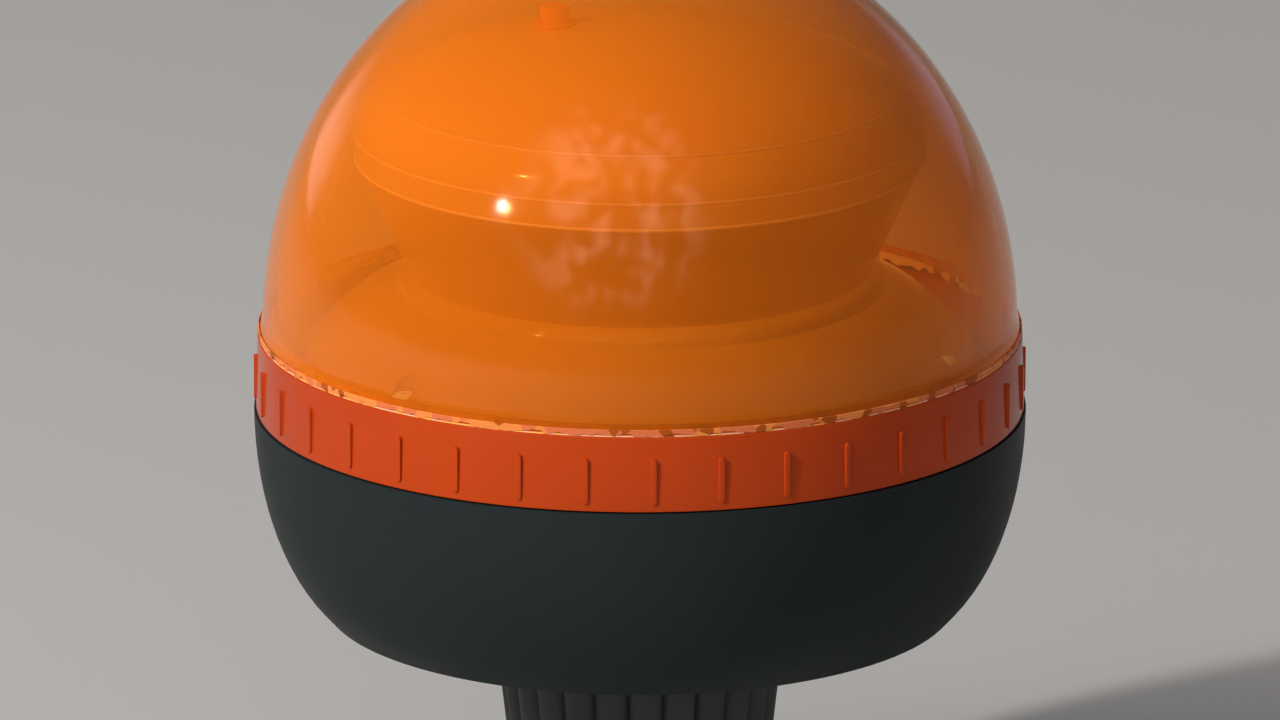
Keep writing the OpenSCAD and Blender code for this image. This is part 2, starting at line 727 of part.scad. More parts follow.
// The clear optic, with pillars for its screws
module light_optic() {
    screw_seat = seat_z + optic_screw_z;
    pillar_r = optic_screw_in - fit_gap;
    outline = concat([[0, seat_z]], [for (p = light_optic_section) if (p[1] <= neck_z) p]);
    color("#e8944c", 0.6) difference() {
        union() {
            rotate_extrude() polygon(light_optic_section);
            intersection() {
                ring_of(optic_screws_n, optic_screw_start)
                    translate([optic_screw_ring, 0, seat_z]) cylinder(r = pillar_r, h = neck_foot_z);
                rotate_extrude() polygon(concat([[0, seat_z], [optic_r, seat_z],
                    [optic_r, seat_z + flange_edge_h]],
                    bend([optic_r, seat_z + flange_edge_h],
                        [optic_r, seat_z + flange_edge_h + edge_round_h * 0.6], slope_low, 4),
                    bend(slope_low, slope_bulge, slope_high, 8), [[0, neck_z]]));
            }
        }
        ring_of(optic_screws_n, optic_screw_start) translate([optic_screw_ring, 0, 0]) {
            translate([0, 0, seat_z - 1])
                cylinder(r = small_screw_r + fit_gap, h = optic_screw_z + 2);
            translate([0, 0, screw_seat]) cylinder(r = small_head_r + loose_gap, h = neck_foot_z);
        }
    }
}

// The screws that hold the optic and the heat sink on the base's bosses
module optic_screws() {
    color("#c8cacc") ring_of(optic_screws_n, optic_screw_start)
        translate([optic_screw_ring, 0, seat_z + optic_screw_z])
            screw(small_screw_r, optic_screw_z + sink_t + optic_screw_bite - fit_gap,
                small_head_r, small_head_h);
}

// The height of the cap's outside at a distance from its axis
function cap_height(r) = cap_z + cap_rise * sqrt(1 - pow(r / rim_r, 2));
vent_z = cap_height(vent_ring + vent_flange_r) - loose_gap;

// The domed cap on the cone's rim
module optic_cap() {
    inner_r = rim_r - optic_wall;
    spigot_r = inner_r - fit_gap;
    spigot_low_r = spigot_r - cap_spigot_h * cone_out / cone_h;
    color("#e8944c", 0.6) difference() {
        rotate_extrude() polygon(concat(
            [[spigot_low_r - optic_wall, cone_top_z - cap_spigot_h],
                [spigot_low_r, cone_top_z - cap_spigot_h],
                [spigot_r, cone_top_z], [rim_r, cone_top_z]],
            ellipse_arc([0, cap_z], rim_r, cap_rise, 0, 90, 18),
            ellipse_arc([0, cap_z], inner_r, cap_rise - optic_wall, 90, 0, 16),
            [[inner_r, cone_top_z + rim_h / 2], [spigot_r - optic_wall, cone_top_z]]));
        translate([vent_x, vent_y, vent_z]) cylinder(r = vent_flange_r + fit_gap, h = cap_rise);
        translate([vent_x, vent_y, vent_z - vent_stem_l])
            cylinder(r = vent_stem_r + fit_gap, h = vent_stem_l + 1);
    }
}

// The push-in vent plug on the cap
module vent_plug() {
    color("#d9632a") translate([vent_x, vent_y, vent_z]) {
        translate([0, 0, -vent_stem_l]) cylinder(r = vent_stem_r, h = vent_stem_l + vent_flange_t / 2);
        cylinder(r = vent_flange_r, h = vent_flange_t);
        cylinder(r = vent_r, h = vent_flange_t + vent_h);
    }
}

// The flat rubber ring in the base's shoulder
module lens_seal() {
    color("#1b1c1d") translate([0, 0, top_z - seal_t]) difference() {
        cylinder(r = seal_out_r, h = seal_t);
        translate([0, 0, -1]) cylinder(r = seal_in_r, h = seal_t + 2);
    }
}

// The ribbed collar, with lugs that pass under the base's lips
module lens_collar() {
    chamfer = collar_draft;
    color("#d0481a") {
        rotate_extrude() polygon([
            [collar_in_r, collar_z], [collar_r - chamfer / 2, collar_z],
            [collar_r, collar_z + chamfer / 2], [rim_top_r, rim_z - chamfer],
            [rim_top_r - chamfer / 2, rim_z], [collar_in_r, rim_z]]);
        ring_of(ribs, rib_turn - 90)
            translate([collar_r - collar_wall / 2, -rib_w / 2, collar_z + rib_low])
                cube([collar_wall / 2 + rib_proud, rib_w, rib_h]);
        ring_of(lugs, lug_start)
            ring_block(lug_in_r, collar_in_r + collar_wall / 2, lug_low_z, lug_low_z + lug_h, lug_arc);
    }
}

// The amber dome, with a flared foot on the collar and a spigot inside it
module lens_dome() {
    dome_mid_z = rim_z + dome_low;
    foot_top_z = rim_z + foot_h;
    start = asin((foot_top_z - dome_mid_z) / dome_rise);
    spigot_r = collar_in_r - fit_gap;
    spigot_in_r = spigot_r - spigot_wall;
    inner_rise = dome_rise - dome_wall;
    color("#f07a1e", 0.5) rotate_extrude() polygon(concat(
        [[spigot_in_r, rim_z - spigot_h], [spigot_r, rim_z - spigot_h], [spigot_r, rim_z],
            [rim_top_r - collar_draft / 2, rim_z], [rim_top_r - collar_draft / 2, rim_z + foot_h / 3]],
        ellipse_arc([0, dome_mid_z], dome_r, dome_rise, start, 90, 28),
        ellipse_arc([0, dome_mid_z], dome_r - dome_wall, inner_rise, 90,
            asin((foot_top_z - dome_mid_z) / inner_rise), 26),
        [[spigot_in_r, rim_z]]));
}

pole_socket();
pole_sleeve();
contact_carrier();
centre_contact();
earth_tab();
clamp_bush();
clamp_screw();
base_housing();
socket_plate();
socket_screws();
driver_board();
board_screws();
driver_capacitors();
driver_coil();
terminal_block();
pin_header();
feed_wire();
earth_wire();
heat_sink();
lamp_board();
lamps_ring();
light_optic();
optic_cap();
vent_plug();
optic_screws();
lens_seal();
lens_collar();
lens_dome();
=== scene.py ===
import math

import bmesh
import bpy
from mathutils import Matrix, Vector


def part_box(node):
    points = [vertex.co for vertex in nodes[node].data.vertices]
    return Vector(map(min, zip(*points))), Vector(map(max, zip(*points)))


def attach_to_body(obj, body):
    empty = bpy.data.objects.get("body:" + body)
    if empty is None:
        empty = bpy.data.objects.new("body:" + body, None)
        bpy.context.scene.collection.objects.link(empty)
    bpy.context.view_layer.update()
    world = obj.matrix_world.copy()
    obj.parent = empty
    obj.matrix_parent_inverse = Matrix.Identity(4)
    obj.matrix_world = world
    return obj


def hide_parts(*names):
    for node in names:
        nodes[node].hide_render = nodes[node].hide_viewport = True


# The looks of a pole-mounted amber beacon, built round its CAD frame. Profiles are in
# millimetres, as pairs of radius and height, and become metres when a mesh is made.
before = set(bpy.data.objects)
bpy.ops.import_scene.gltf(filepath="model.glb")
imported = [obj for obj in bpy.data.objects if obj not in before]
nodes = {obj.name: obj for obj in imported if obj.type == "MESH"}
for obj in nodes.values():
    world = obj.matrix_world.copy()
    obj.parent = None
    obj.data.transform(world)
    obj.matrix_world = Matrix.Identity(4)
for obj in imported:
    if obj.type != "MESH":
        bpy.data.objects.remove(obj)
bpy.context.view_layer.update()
scene = bpy.context.scene
scene.view_settings.view_transform = "Standard"
mm = 0.001


def lowest(node):
    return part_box(node)[0].z / mm


def highest(node):
    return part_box(node)[1].z / mm


shoulderZ = highest("lens_seal")          # the base's shoulder, under the collar
undersideZ = lowest("base_housing")
collarLowZ = lowest("lens_collar")
rimZ = highest("lens_collar")             # the collar's top edge
rimRadius = 70.25
print("frame loaded:", len(nodes), "nodes")


def addObject(name, data):
    made = bpy.data.objects.new(name, data)
    scene.collection.objects.link(made)
    return made


# Camera, at the photograph's place

photoView = {
    "distance": 2.694,        # from the middle of the collar's lower edge
    "down": 16.34,            # how far that point lies below the camera, in degrees
    "pitch": 16.17,           # how far the camera looks down, in degrees
    "lens": 411.75,
    "sensor": 36,
}


def placeCamera(look):
    camera = addObject("photoCamera", bpy.data.cameras.new("photoCamera"))
    down = math.radians(look["down"])
    target = Vector((0, 0, shoulderZ * mm))
    camera.location = target + look["distance"] * Vector((0, -math.cos(down), math.sin(down)))
    camera.rotation_euler = (math.radians(90 - look["pitch"]), 0, 0)
    camera.data.lens = look["lens"]
    camera.data.sensor_width = look["sensor"]
    camera.data.clip_start, camera.data.clip_end = 0.1, 60
    scene.camera = camera


placeCamera(photoView)


# Node trees

number, wholeNumber, vector, colour = (
    "NodeSocketFloat", "NodeSocketInt", "NodeSocketVector", "NodeSocketColor")
geometry, material, thing = (
    "NodeSocketGeometry", "NodeSocketMaterial", "NodeSocketObject")


def newTree(name, kind, inputs, outLabel, outForm):
    # a tree with one output, its result
    tree = bpy.data.node_groups.new(name, kind)
    tree.interface.new_socket(outLabel, in_out="OUTPUT", socket_type=outForm)
    for label, form in inputs:
        tree.interface.new_socket(label, in_out="INPUT", socket_type=form)
    given = tree.nodes.new("NodeGroupInput").outputs
    return tree, given, tree.nodes.new("NodeGroupOutput").inputs[0]


def newGeometryTree(name, inputs):
    return newTree(name, "GeometryNodeTree", [("Geometry", geometry), *inputs], "Geometry",
                   geometry)


def feed(tree, socket, value):
    if isinstance(value, bpy.types.NodeSocket):
        tree.links.new(value, socket)
    else:
        socket.default_value = value


def place(tree, kind, feeds=None, **settings):
    node = tree.nodes.new(kind)
    for name, value in settings.items():
        setattr(node, name, value)
    for name, value in (feeds or {}).items():
        feed(tree, node.inputs[name], value)
    return node


def calc(tree, operation, *values):
    return place(tree, "ShaderNodeMath", dict(enumerate(values)), operation=operation).outputs[0]


def vectorCalc(tree, operation, *values):
    node = place(tree, "ShaderNodeVectorMath", dict(enumerate(values)), operation=operation)
    return node.outputs[1 if operation in ("LENGTH", "DOT_PRODUCT") else 0]


def attach(piece, tree, values):
    modifier = piece.modifiers.new(tree.name, "NODES")
    modifier.node_group = tree
    for item in tree.interface.items_tree:
        if item.item_type == "SOCKET" and item.in_out == "INPUT" and item.name in values:
            modifier[item.identifier] = values[item.name]


def settle(piece):
    # the modifiers' result becomes a plain mesh
    piece.update_tag()
    bpy.context.view_layer.update()
    seen = piece.evaluated_get(bpy.context.evaluated_depsgraph_get())
    mesh = bpy.data.meshes.new_from_object(seen)
    piece.modifiers.clear()
    piece.data = mesh
    return piece


# Shared shader groups. Each one puts out a colour or a value that changes over the surface.

def makeToneDrift():
    # a slow change between two tones
    tree, given, result = newTree(
        "toneDrift", "ShaderNodeTree",
        [("Vector", vector), ("Tone", colour), ("Second Tone", colour), ("Scale", number)],
        "Color", colour)
    noise = place(tree, "ShaderNodeTexNoise", {
        "Vector": given["Vector"], "Scale": given["Scale"], "Detail": 3, "Roughness": 0.55})
    spread = place(tree, "ShaderNodeMapRange",
                   {"Value": noise.outputs["Fac"], "From Min": 0.32, "From Max": 0.68})
    mixed = place(tree, "ShaderNodeMix", data_type="RGBA")
    feed(tree, mixed.inputs["Factor"], spread.outputs["Result"])
    feed(tree, mixed.inputs[6], given["Tone"])
    feed(tree, mixed.inputs[7], given["Second Tone"])
    feed(tree, result, mixed.outputs[2])
    return tree


def makeMouldGrain():
    # the fine texture of a moulded surface
    tree, given, result = newTree(
        "mouldGrain", "ShaderNodeTree",
        [("Vector", vector), ("Scale", number), ("Pits", number)], "Height", number)
    grain = place(tree, "ShaderNodeTexNoise", {
        "Vector": given["Vector"], "Scale": given["Scale"], "Detail": 4, "Roughness": 0.6})
    wide = calc(tree, "MULTIPLY", given["Scale"], 0.35)
    cells = place(tree, "ShaderNodeTexVoronoi", {"Vector": given["Vector"], "Scale": wide})
    pits = calc(tree, "MULTIPLY", cells.outputs["Distance"], given["Pits"])
    feed(tree, result, calc(tree, "ADD", grain.outputs["Fac"], pits))
    return tree


def makeHandledGloss():
    # gloss that handling and dust have made uneven
    tree, given, result = newTree(
        "handledGloss", "ShaderNodeTree",
        [("Vector", vector), ("Scale", number), ("Smoothest", number), ("Roughest", number)],
        "Roughness", number)
    clouds = place(tree, "ShaderNodeTexNoise",
                   {"Vector": given["Vector"], "Scale": given["Scale"], "Detail": 5,
                    "Roughness": 0.65, "Distortion": 0.4})
    spread = place(tree, "ShaderNodeMapRange",
                   {"Value": clouds.outputs["Fac"], "From Min": 0.35, "From Max": 0.7,
                    "To Min": given["Smoothest"], "To Max": given["Roughest"]})
    feed(tree, result, spread.outputs["Result"])
    return tree


def makeDrawnLines():
    # fine lines round or along a drawn or turned metal part
    tree, given, result = newTree(
        "drawnLines", "ShaderNodeTree",
        [("Vector", vector), ("Stretch", vector), ("Scale", number)], "Height", number)
    stretched = vectorCalc(tree, "MULTIPLY", given["Vector"], given["Stretch"])
    lines = place(tree, "ShaderNodeTexNoise",
                  {"Vector": stretched, "Scale": given["Scale"], "Detail": 5, "Roughness": 0.7})
    feed(tree, result, lines.outputs["Fac"])
    return tree


toneDrift = makeToneDrift()
mouldGrain = makeMouldGrain()
handledGloss = makeHandledGloss()
drawnLines = makeDrawnLines()


def startMaterial(name):
    finish = bpy.data.materials.new(name)
    finish.use_nodes = True
    tree = finish.node_tree
    tree.nodes.clear()
    shader = tree.nodes.new("ShaderNodeBsdfPrincipled")
    output = tree.nodes.new("ShaderNodeOutputMaterial")
    tree.links.new(shader.outputs[0], output.inputs["Surface"])
    where = tree.nodes.new("ShaderNodeTexCoord").outputs["Object"]
    return finish, tree, shader, where


def useGroup(tree, group, feeds):
    node = tree.nodes.new("ShaderNodeGroup")
    node.node_tree = group
    for name, value in feeds.items():
        feed(tree, node.inputs[name], value)
    return node.outputs[0]


def rgba(tone):
    return (*tone, 1)


def addGloss(tree, shader, where, look):
    smoothest, roughest = look["rough"]
    feed(tree, shader.inputs["Roughness"], useGroup(tree, handledGloss, {
        "Vector": where, "Scale": look.get("glossScale", 60),
        "Smoothest": smoothest, "Roughest": roughest}))


def setSockets(shader, look):
    for socket, value in look.get("shader", {}).items():
        shader.inputs[socket].default_value = value


def moulded(name, look):
    # a plastic, rubber or painted finish
    finish, tree, shader, where = startMaterial(name)
    tone = useGroup(tree, toneDrift, {
        "Vector": where, "Tone": rgba(look["tone"]), "Second Tone": rgba(look["secondTone"]),
        "Scale": look.get("driftScale", 30)})
    feed(tree, shader.inputs["Base Color"], tone)
    addGloss(tree, shader, where, look)
    if "stretch" in look:
        height = useGroup(tree, drawnLines, {
            "Vector": where, "Stretch": look["stretch"], "Scale": look["grainScale"]})
    elif "grain" in look:
        height = useGroup(tree, mouldGrain, {
            "Vector": where, "Scale": look["grainScale"], "Pits": look.get("pits", 0)})
    if "grain" in look:
        bump = place(tree, "ShaderNodeBump",
                     {"Strength": look["grain"], "Distance": 0.0002, "Height": height})
        feed(tree, shader.inputs["Normal"], bump.outputs[0])
    setSockets(shader, look)
    return finish


def clear(name, look):
    # a moulded finish that also lets tinted light straight through, least where it is seen
    # edge on
    finish = moulded(name, look)
    tree = finish.node_tree
    shader = tree.nodes["Principled BSDF"]
    passing = place(tree, "ShaderNodeBsdfTransparent", {"Color": rgba(look["tint"])})
    facing = place(tree, "ShaderNodeLayerWeight", {"Blend": 0.5}).outputs["Facing"]
    share = place(tree, "ShaderNodeMapRange",
                  {"Value": calc(tree, "POWER", facing, look["edgeFall"]),
                   "To Min": 1 - look["solid"], "To Max": 1 - look["edge"]})
    mixed = place(tree, "ShaderNodeMixShader", {0: share.outputs[0]})
    feed(tree, mixed.inputs[1], shader.outputs[0])
    feed(tree, mixed.inputs[2], passing.outputs[0])
    feed(tree, tree.nodes["Material Output"].inputs["Surface"], mixed.outputs[0])
    return finish


print("shader groups built")


# Mesh helpers

def onCircle(radius, turn):
    return radius * math.cos(turn), radius * math.sin(turn)


def ringSpots(ring, count, start):
    # places round the axis, the first one at start degrees
    return [onCircle(ring, math.radians(start + 360 * k / count)) for k in range(count)]


def rounded(corners, steps=4):
    # each corner is (radius, height, fillet)
    points = []
    for i, (radius, height, fillet) in enumerate(corners):
        here = Vector((radius, height))
        if not fillet:
            points.append(here)
            continue
        before = Vector(corners[i - 1][:2]) - here
        after = Vector(corners[(i + 1) % len(corners)][:2]) - here
        start = here + before.normalized() * min(fillet, before.length * 0.48)
        end = here + after.normalized() * min(fillet, after.length * 0.48)
        for k in range(steps + 1):
            t = k / steps
            points.append(start * (1 - t) ** 2 + here * 2 * t * (1 - t) + end * t * t)
    return points


def ellipseArc(middle, wide, high, start, end, steps):
    points = []
    for k in range(steps + 1):
        t = start + (end - start) * k / steps
        points.append((wide * math.cos(t), middle + high * math.sin(t)))
    return points


def addRevolve(bm, profile, steps):
    # a closed profile turned round the axis
    rings = []
    for radius, height in profile:
        if abs(radius) < 1e-6:
            rings.append([bm.verts.new((0, 0, height * mm))])
            continue
        rings.append([bm.verts.new((*onCircle(radius * mm, 2 * math.pi * k / steps), height * mm))
                      for k in range(steps)])
    for first, second in zip(rings, rings[1:] + rings[:1]):
        if len(first) == len(second) == 1:
            continue
        for k in range(steps):
            corners = [first[k % len(first)], first[(k + 1) % len(first)],
                       second[(k + 1) % len(second)], second[k % len(second)]]
            bm.faces.new(list(dict.fromkeys(corners)))


def bridge(bm, rings):
    # faces between rings with the same number of points
    for first, second in zip(rings, rings[1:]):
        for k in range(len(first)):
            n = (k + 1) % len(first)
            bm.faces.new([first[k], first[n], second[n], second[k]])


def addArcBlock(bm, inner, outer, low, high, middle, arc, steps=8):
    # a block that bends round the axis, with its angles in degrees
    sections = []
    corners = (inner, low), (outer, low), (outer, high), (inner, high)
    for k in range(steps + 1):
        t = math.radians(middle - arc / 2 + arc * k / steps)
        sections.append([bm.verts.new((*onCircle(radius * mm, t), height * mm))
                         for radius, height in corners])
    bridge(bm, sections)
    bm.faces.new(sections[0][::-1])
    bm.faces.new(sections[-1])


def smooth(piece, sharpAngle=35):
    mesh = piece.data
    mesh.polygons.foreach_set("use_smooth", [True] * len(mesh.polygons))
    mesh.set_sharp_from_angle(angle=math.radians(sharpAngle))
    return piece


def newPiece(name, bm, finish=None):
    bmesh.ops.recalc_face_normals(bm, faces=bm.faces)
    mesh = bpy.data.meshes.new(name)
    bm.to_mesh(mesh)
    bm.free()
    if finish:
        mesh.materials.append(finish)
    return smooth(addObject(name, mesh))


def revolved(name, profile, finish, steps=192):
    bm = bmesh.new()
    addRevolve(bm, profile, steps)
    return newPiece(name, bm, finish)


def drop(piece):
    mesh = piece.data
    bpy.data.objects.remove(piece)
    bpy.data.meshes.remove(mesh)


def rod(name, radius, start, end, steps=48):
    # a round rod from one point to another
    start, end = Vector(start), Vector(end)
    bm = bmesh.new()
    bmesh.ops.create_cone(bm, cap_ends=True, segments=steps, radius1=radius * mm,
                          radius2=radius * mm, depth=(end - start).length * mm)
    turn = Vector((0, 0, 1)).rotation_difference(end - start).to_matrix()
    bmesh.ops.rotate(bm, cent=(0, 0, 0), matrix=turn, verts=bm.verts)
    bmesh.ops.translate(bm, vec=(start + end) / 2 * mm, verts=bm.verts)
    return newPiece(name, bm)


def combine(piece, others, operation, used=True):
    for other in others:
        change = piece.modifiers.new(operation, "BOOLEAN")
        change.object, change.operation, change.solver = other, operation, "EXACT"
    settle(piece)
    for other in others if used else []:
        drop(other)


# Geometry Nodes trees

def endTree(tree, given, result, made):
    real = place(tree, "GeometryNodeRealizeInstances", {"Geometry": made})
    painted = place(tree, "GeometryNodeSetMaterial",
                    {"Geometry": real.outputs[0], "Material": given["Material"]})
    feed(tree, result, painted.outputs[0])
    return tree


def makeRingOf():
    # copies of a piece round the axis, joined to what the modifier sits on
    tree, given, result = newGeometryTree("ringOf", [
        ("Piece", thing), ("Count", wholeNumber), ("Ring", number), ("Height", number),
        ("Start", number), ("Own Turn", number), ("Seed", wholeNumber), ("Material", material)])
    index = place(tree, "GeometryNodeInputIndex").outputs[0]
    step = calc(tree, "DIVIDE", 2 * math.pi, given["Count"])
    angle = calc(tree, "ADD", calc(tree, "MULTIPLY", index, step), given["Start"])
    x = calc(tree, "MULTIPLY", calc(tree, "COSINE", angle), given["Ring"])
    y = calc(tree, "MULTIPLY", calc(tree, "SINE", angle), given["Ring"])
    spot = place(tree, "ShaderNodeCombineXYZ", {"X": x, "Y": y, "Z": given["Height"]})
    points = place(tree, "GeometryNodePoints",
                   {"Count": given["Count"], "Position": spot.outputs[0]})
    chance = place(tree, "FunctionNodeRandomValue", {2: 0, 3: given["Own Turn"],
                                                     "Seed": given["Seed"]}, data_type="FLOAT")
    turn = place(tree, "ShaderNodeCombineXYZ", {"Z": calc(tree, "ADD", angle, chance.outputs[1])})
    rotation = place(tree, "FunctionNodeEulerToRotation", {"Euler": turn.outputs[0]})
    source = place(tree, "GeometryNodeObjectInfo", {"Object": given["Piece"]})
    copies = place(tree, "GeometryNodeInstanceOnPoints",
                   {"Points": points.outputs[0], "Instance": source.outputs["Geometry"],
                    "Rotation": rotation.outputs[0]})
    joined = place(tree, "GeometryNodeJoinGeometry")
    feed(tree, joined.inputs[0], given["Geometry"])
    feed(tree, joined.inputs[0], copies.outputs[0])
    return endTree(tree, given, result, joined.outputs[0])


def makeFluting():
    # V grooves between round flutes, pressed into a revolved wall
    tree, given, result = newGeometryTree("fluting", [
        ("Flutes", wholeNumber), ("First Groove", number), ("Depth", number),
        ("Inner Radius", number), ("Low", number), ("High", number), ("Material", material)])
    position = place(tree, "GeometryNodeInputPosition").outputs[0]
    split = place(tree, "ShaderNodeSeparateXYZ", {0: position})
    flat = vectorCalc(tree, "MULTIPLY", position, (1, 1, 0))
    radius = vectorCalc(tree, "LENGTH", flat)
    angle = calc(tree, "ARCTAN2", split.outputs["Y"], split.outputs["X"])
    waves = calc(tree, "MULTIPLY", calc(tree, "SUBTRACT", angle, given["First Groove"]),
                 calc(tree, "DIVIDE", given["Flutes"], 2))
    crest = calc(tree, "SQRT", calc(tree, "ABSOLUTE", calc(tree, "SINE", waves)))
    depth = calc(tree, "MULTIPLY", calc(tree, "SUBTRACT", 1, crest), given["Depth"])
    outside = calc(tree, "GREATER_THAN", radius, given["Inner Radius"])
    above = calc(tree, "GREATER_THAN", split.outputs["Z"], given["Low"])
    below = calc(tree, "LESS_THAN", split.outputs["Z"], given["High"])
    share = calc(tree, "MULTIPLY", outside, calc(tree, "MULTIPLY", above, below))
    outwards = vectorCalc(tree, "NORMALIZE", flat)
    press = calc(tree, "MULTIPLY", calc(tree, "MULTIPLY", depth, share), -1)
    pressed = place(tree, "ShaderNodeVectorMath", {0: outwards, "Scale": press},
                    operation="SCALE")
    moved = place(tree, "GeometryNodeSetPosition",
                  {"Geometry": given["Geometry"], "Offset": pressed.outputs[0]})
    return endTree(tree, given, result, moved.outputs[0])


def makeRaggedEdge():
    # the lower edge of a ring, broken into notches, each with a slope of its own
    tree, given, result = newGeometryTree("raggedEdge", [
        ("Notches", number), ("Low", number), ("High", number), ("Rise", number),
        ("Seed", number), ("Material", material)])
    position = place(tree, "GeometryNodeInputPosition").outputs[0]
    split = place(tree, "ShaderNodeSeparateXYZ", {0: position})
    angle = calc(tree, "ARCTAN2", split.outputs["Y"], split.outputs["X"])
    turns = calc(tree, "MULTIPLY", calc(tree, "ADD", angle, math.pi),
                 calc(tree, "DIVIDE", given["Notches"], 2 * math.pi))
    cell = calc(tree, "FLOOR", turns)
    along = calc(tree, "FRACT", turns)
    draw = calc(tree, "ADD", cell, given["Seed"])
    chance, slope = [place(tree, "ShaderNodeTexWhiteNoise", {"W": seed},
                           noise_dimensions="1D").outputs["Value"]
                     for seed in (draw, calc(tree, "ADD", draw, 0.5))]
    ramp = calc(tree, "MULTIPLY", calc(tree, "SUBTRACT", along, 0.5),
                calc(tree, "SUBTRACT", slope, 0.5))
    steepness = 1.4
    notch = calc(tree, "ADD", chance, calc(tree, "MULTIPLY", ramp, steepness))
    share = place(tree, "ShaderNodeMapRange", {
        "Value": split.outputs["Z"], "From Min": given["High"], "From Max": given["Low"]})
    rise = calc(tree, "MULTIPLY", calc(tree, "MULTIPLY", notch, given["Rise"]), share.outputs[0])
    offset = place(tree, "ShaderNodeCombineXYZ", {"Z": rise})
    moved = place(tree, "GeometryNodeSetPosition",
                  {"Geometry": given["Geometry"], "Offset": offset.outputs[0]})
    return endTree(tree, given, result, moved.outputs[0])


def makeSoftenFacets():
    # smooth shading for a CAD node, with its real edges kept sharp
    tree, given, result = newGeometryTree(
        "softenFacets", [("Sharp Angle", number), ("Material", material)])
    weldedWithin = 0.000004     # metres
    plain = place(tree, "GeometryNodeRemoveAttribute",
                  {"Geometry": given["Geometry"], "Name": "custom_normal"})
    merged = place(tree, "GeometryNodeMergeByDistance",
                   {"Geometry": plain.outputs[0], "Distance": weldedWithin})
    shaded = place(tree, "GeometryNodeSetShadeSmooth",
                   {"Geometry": merged.outputs[0], "Shade Smooth": True}, domain="FACE")
    angle = place(tree, "GeometryNodeInputMeshEdgeAngle").outputs[0]
    sharp = place(tree, "FunctionNodeCompare", {0: angle, 1: given["Sharp Angle"]},
                  data_type="FLOAT", operation="GREATER_THAN")
    edged = place(tree, "GeometryNodeSetShadeSmooth",
                  {"Geometry": shaded.outputs[0], "Selection": sharp.outputs[0],
                   "Shade Smooth": False}, domain="EDGE")
    return endTree(tree, given, result, edged.outputs[0])


ringOf = makeRingOf()
fluting = makeFluting()
raggedEdge = makeRaggedEdge()
softenFacets = makeSoftenFacets()
print("geometry trees built")


def paint(piece, finish):
    piece.data.materials.clear()
    piece.data.materials.append(finish)


def finishNode(name, finish, sharpAngle=28):
    # a CAD node that stays, with its material and smooth shading
    node = nodes[name]
    paint(node, finish)
    attach(node, softenFacets, {"Sharp Angle": math.radians(sharpAngle), "Material": finish})


# The amber dome

domeLook = {
    "step": 0.9,            # from the collar's top edge in to the dome's wall
    "foot": 69.9,
    "footHeight": 3.3,
    "middle": 1.4,          # the middle of the dome's curve, above the collar
    "wall": 2.5,
    "weldGap": 0.3,
    "tone": (0.92, 0.25, 0.008),
    "secondTone": (0.88, 0.23, 0.007),
    "tint": (0.98, 0.82, 0.55),
    "solid": 0.2,           # how solid it looks, seen head on
    "edge": 0.93,           # and edge on
    "edgeFall": 1.5,
    "driftScale": 14,
    "rough": (0.07, 0.12),
    "glossScale": 18,
    "shader": {"IOR": 1.5, "Specular IOR Level": 1.0, "Specular Tint": (1, 0.78, 0.66, 1),
               "Coat Weight": 0.25, "Coat Roughness": 0.07},
}
amberPlastic = clear("domeAmber", domeLook)


def makeDome(look):
    top = highest("lens_dome")
    wallRadius = rimRadius - look["step"]
    middle = rimZ + look["middle"]
    footTop = rimZ + look["footHeight"]
    rise = top - middle
    start = math.asin((footTop - middle) / rise)
    under = rimZ + look["weldGap"]
    outside = ellipseArc(middle, wallRadius, rise, start, math.pi / 2, 64)
    inner = ellipseArc(middle, wallRadius - look["wall"], rise - look["wall"], math.pi / 2,
                       math.asin((footTop - middle) / (rise - look["wall"])), 56)
    outside[-1] = (0, outside[-1][1])
    inner[0] = (0, inner[0][1])
    foot = rounded([
        (wallRadius - look["wall"], under, 0.2),
        (look["foot"], under, 0.1),
        (look["foot"], rimZ + look["footHeight"] * 0.33, 0.5),
        (outside[0][0] + 0.02, outside[0][1] - 0.1, 0)], 4)
    piece = revolved("dome_shell", [*foot, *outside, *inner], amberPlastic)
    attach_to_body(piece, "lens")
    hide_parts("lens_dome")


makeDome(domeLook)
print("dome made")


# The collar, with its grip ribs and lugs

collarLook = {
    "radius": 70.65,
    "topRadius": rimRadius,
    "inner": 68.35,
    "ribs": 36,
    "ribTurn": 2,            # from the front to the nearest rib, in degrees
    "ribWidth": 1.15,
    "ribHeight": 8.5,
    "ribLow": 1.4,
    "ribProud": 0.35,
    "lugs": 3,
    "lugStart": 30,
    "lugArc": 22,
    "lugInner": 66.45,
    "lugLow": 1,             # above the base's shoulder
    "lugHeight": 2.2,
    "tone": (0.50, 0.052, 0.004),
    "secondTone": (0.45, 0.044, 0.004),
    "driftScale": 22,
    "rough": (0.16, 0.26),
    "glossScale": 35,
    "grainScale": 60,
    "grain": 0.05,
    "shader": {"Specular IOR Level": 0.15},
}
collarPlastic = moulded("collarRedOrange", collarLook)


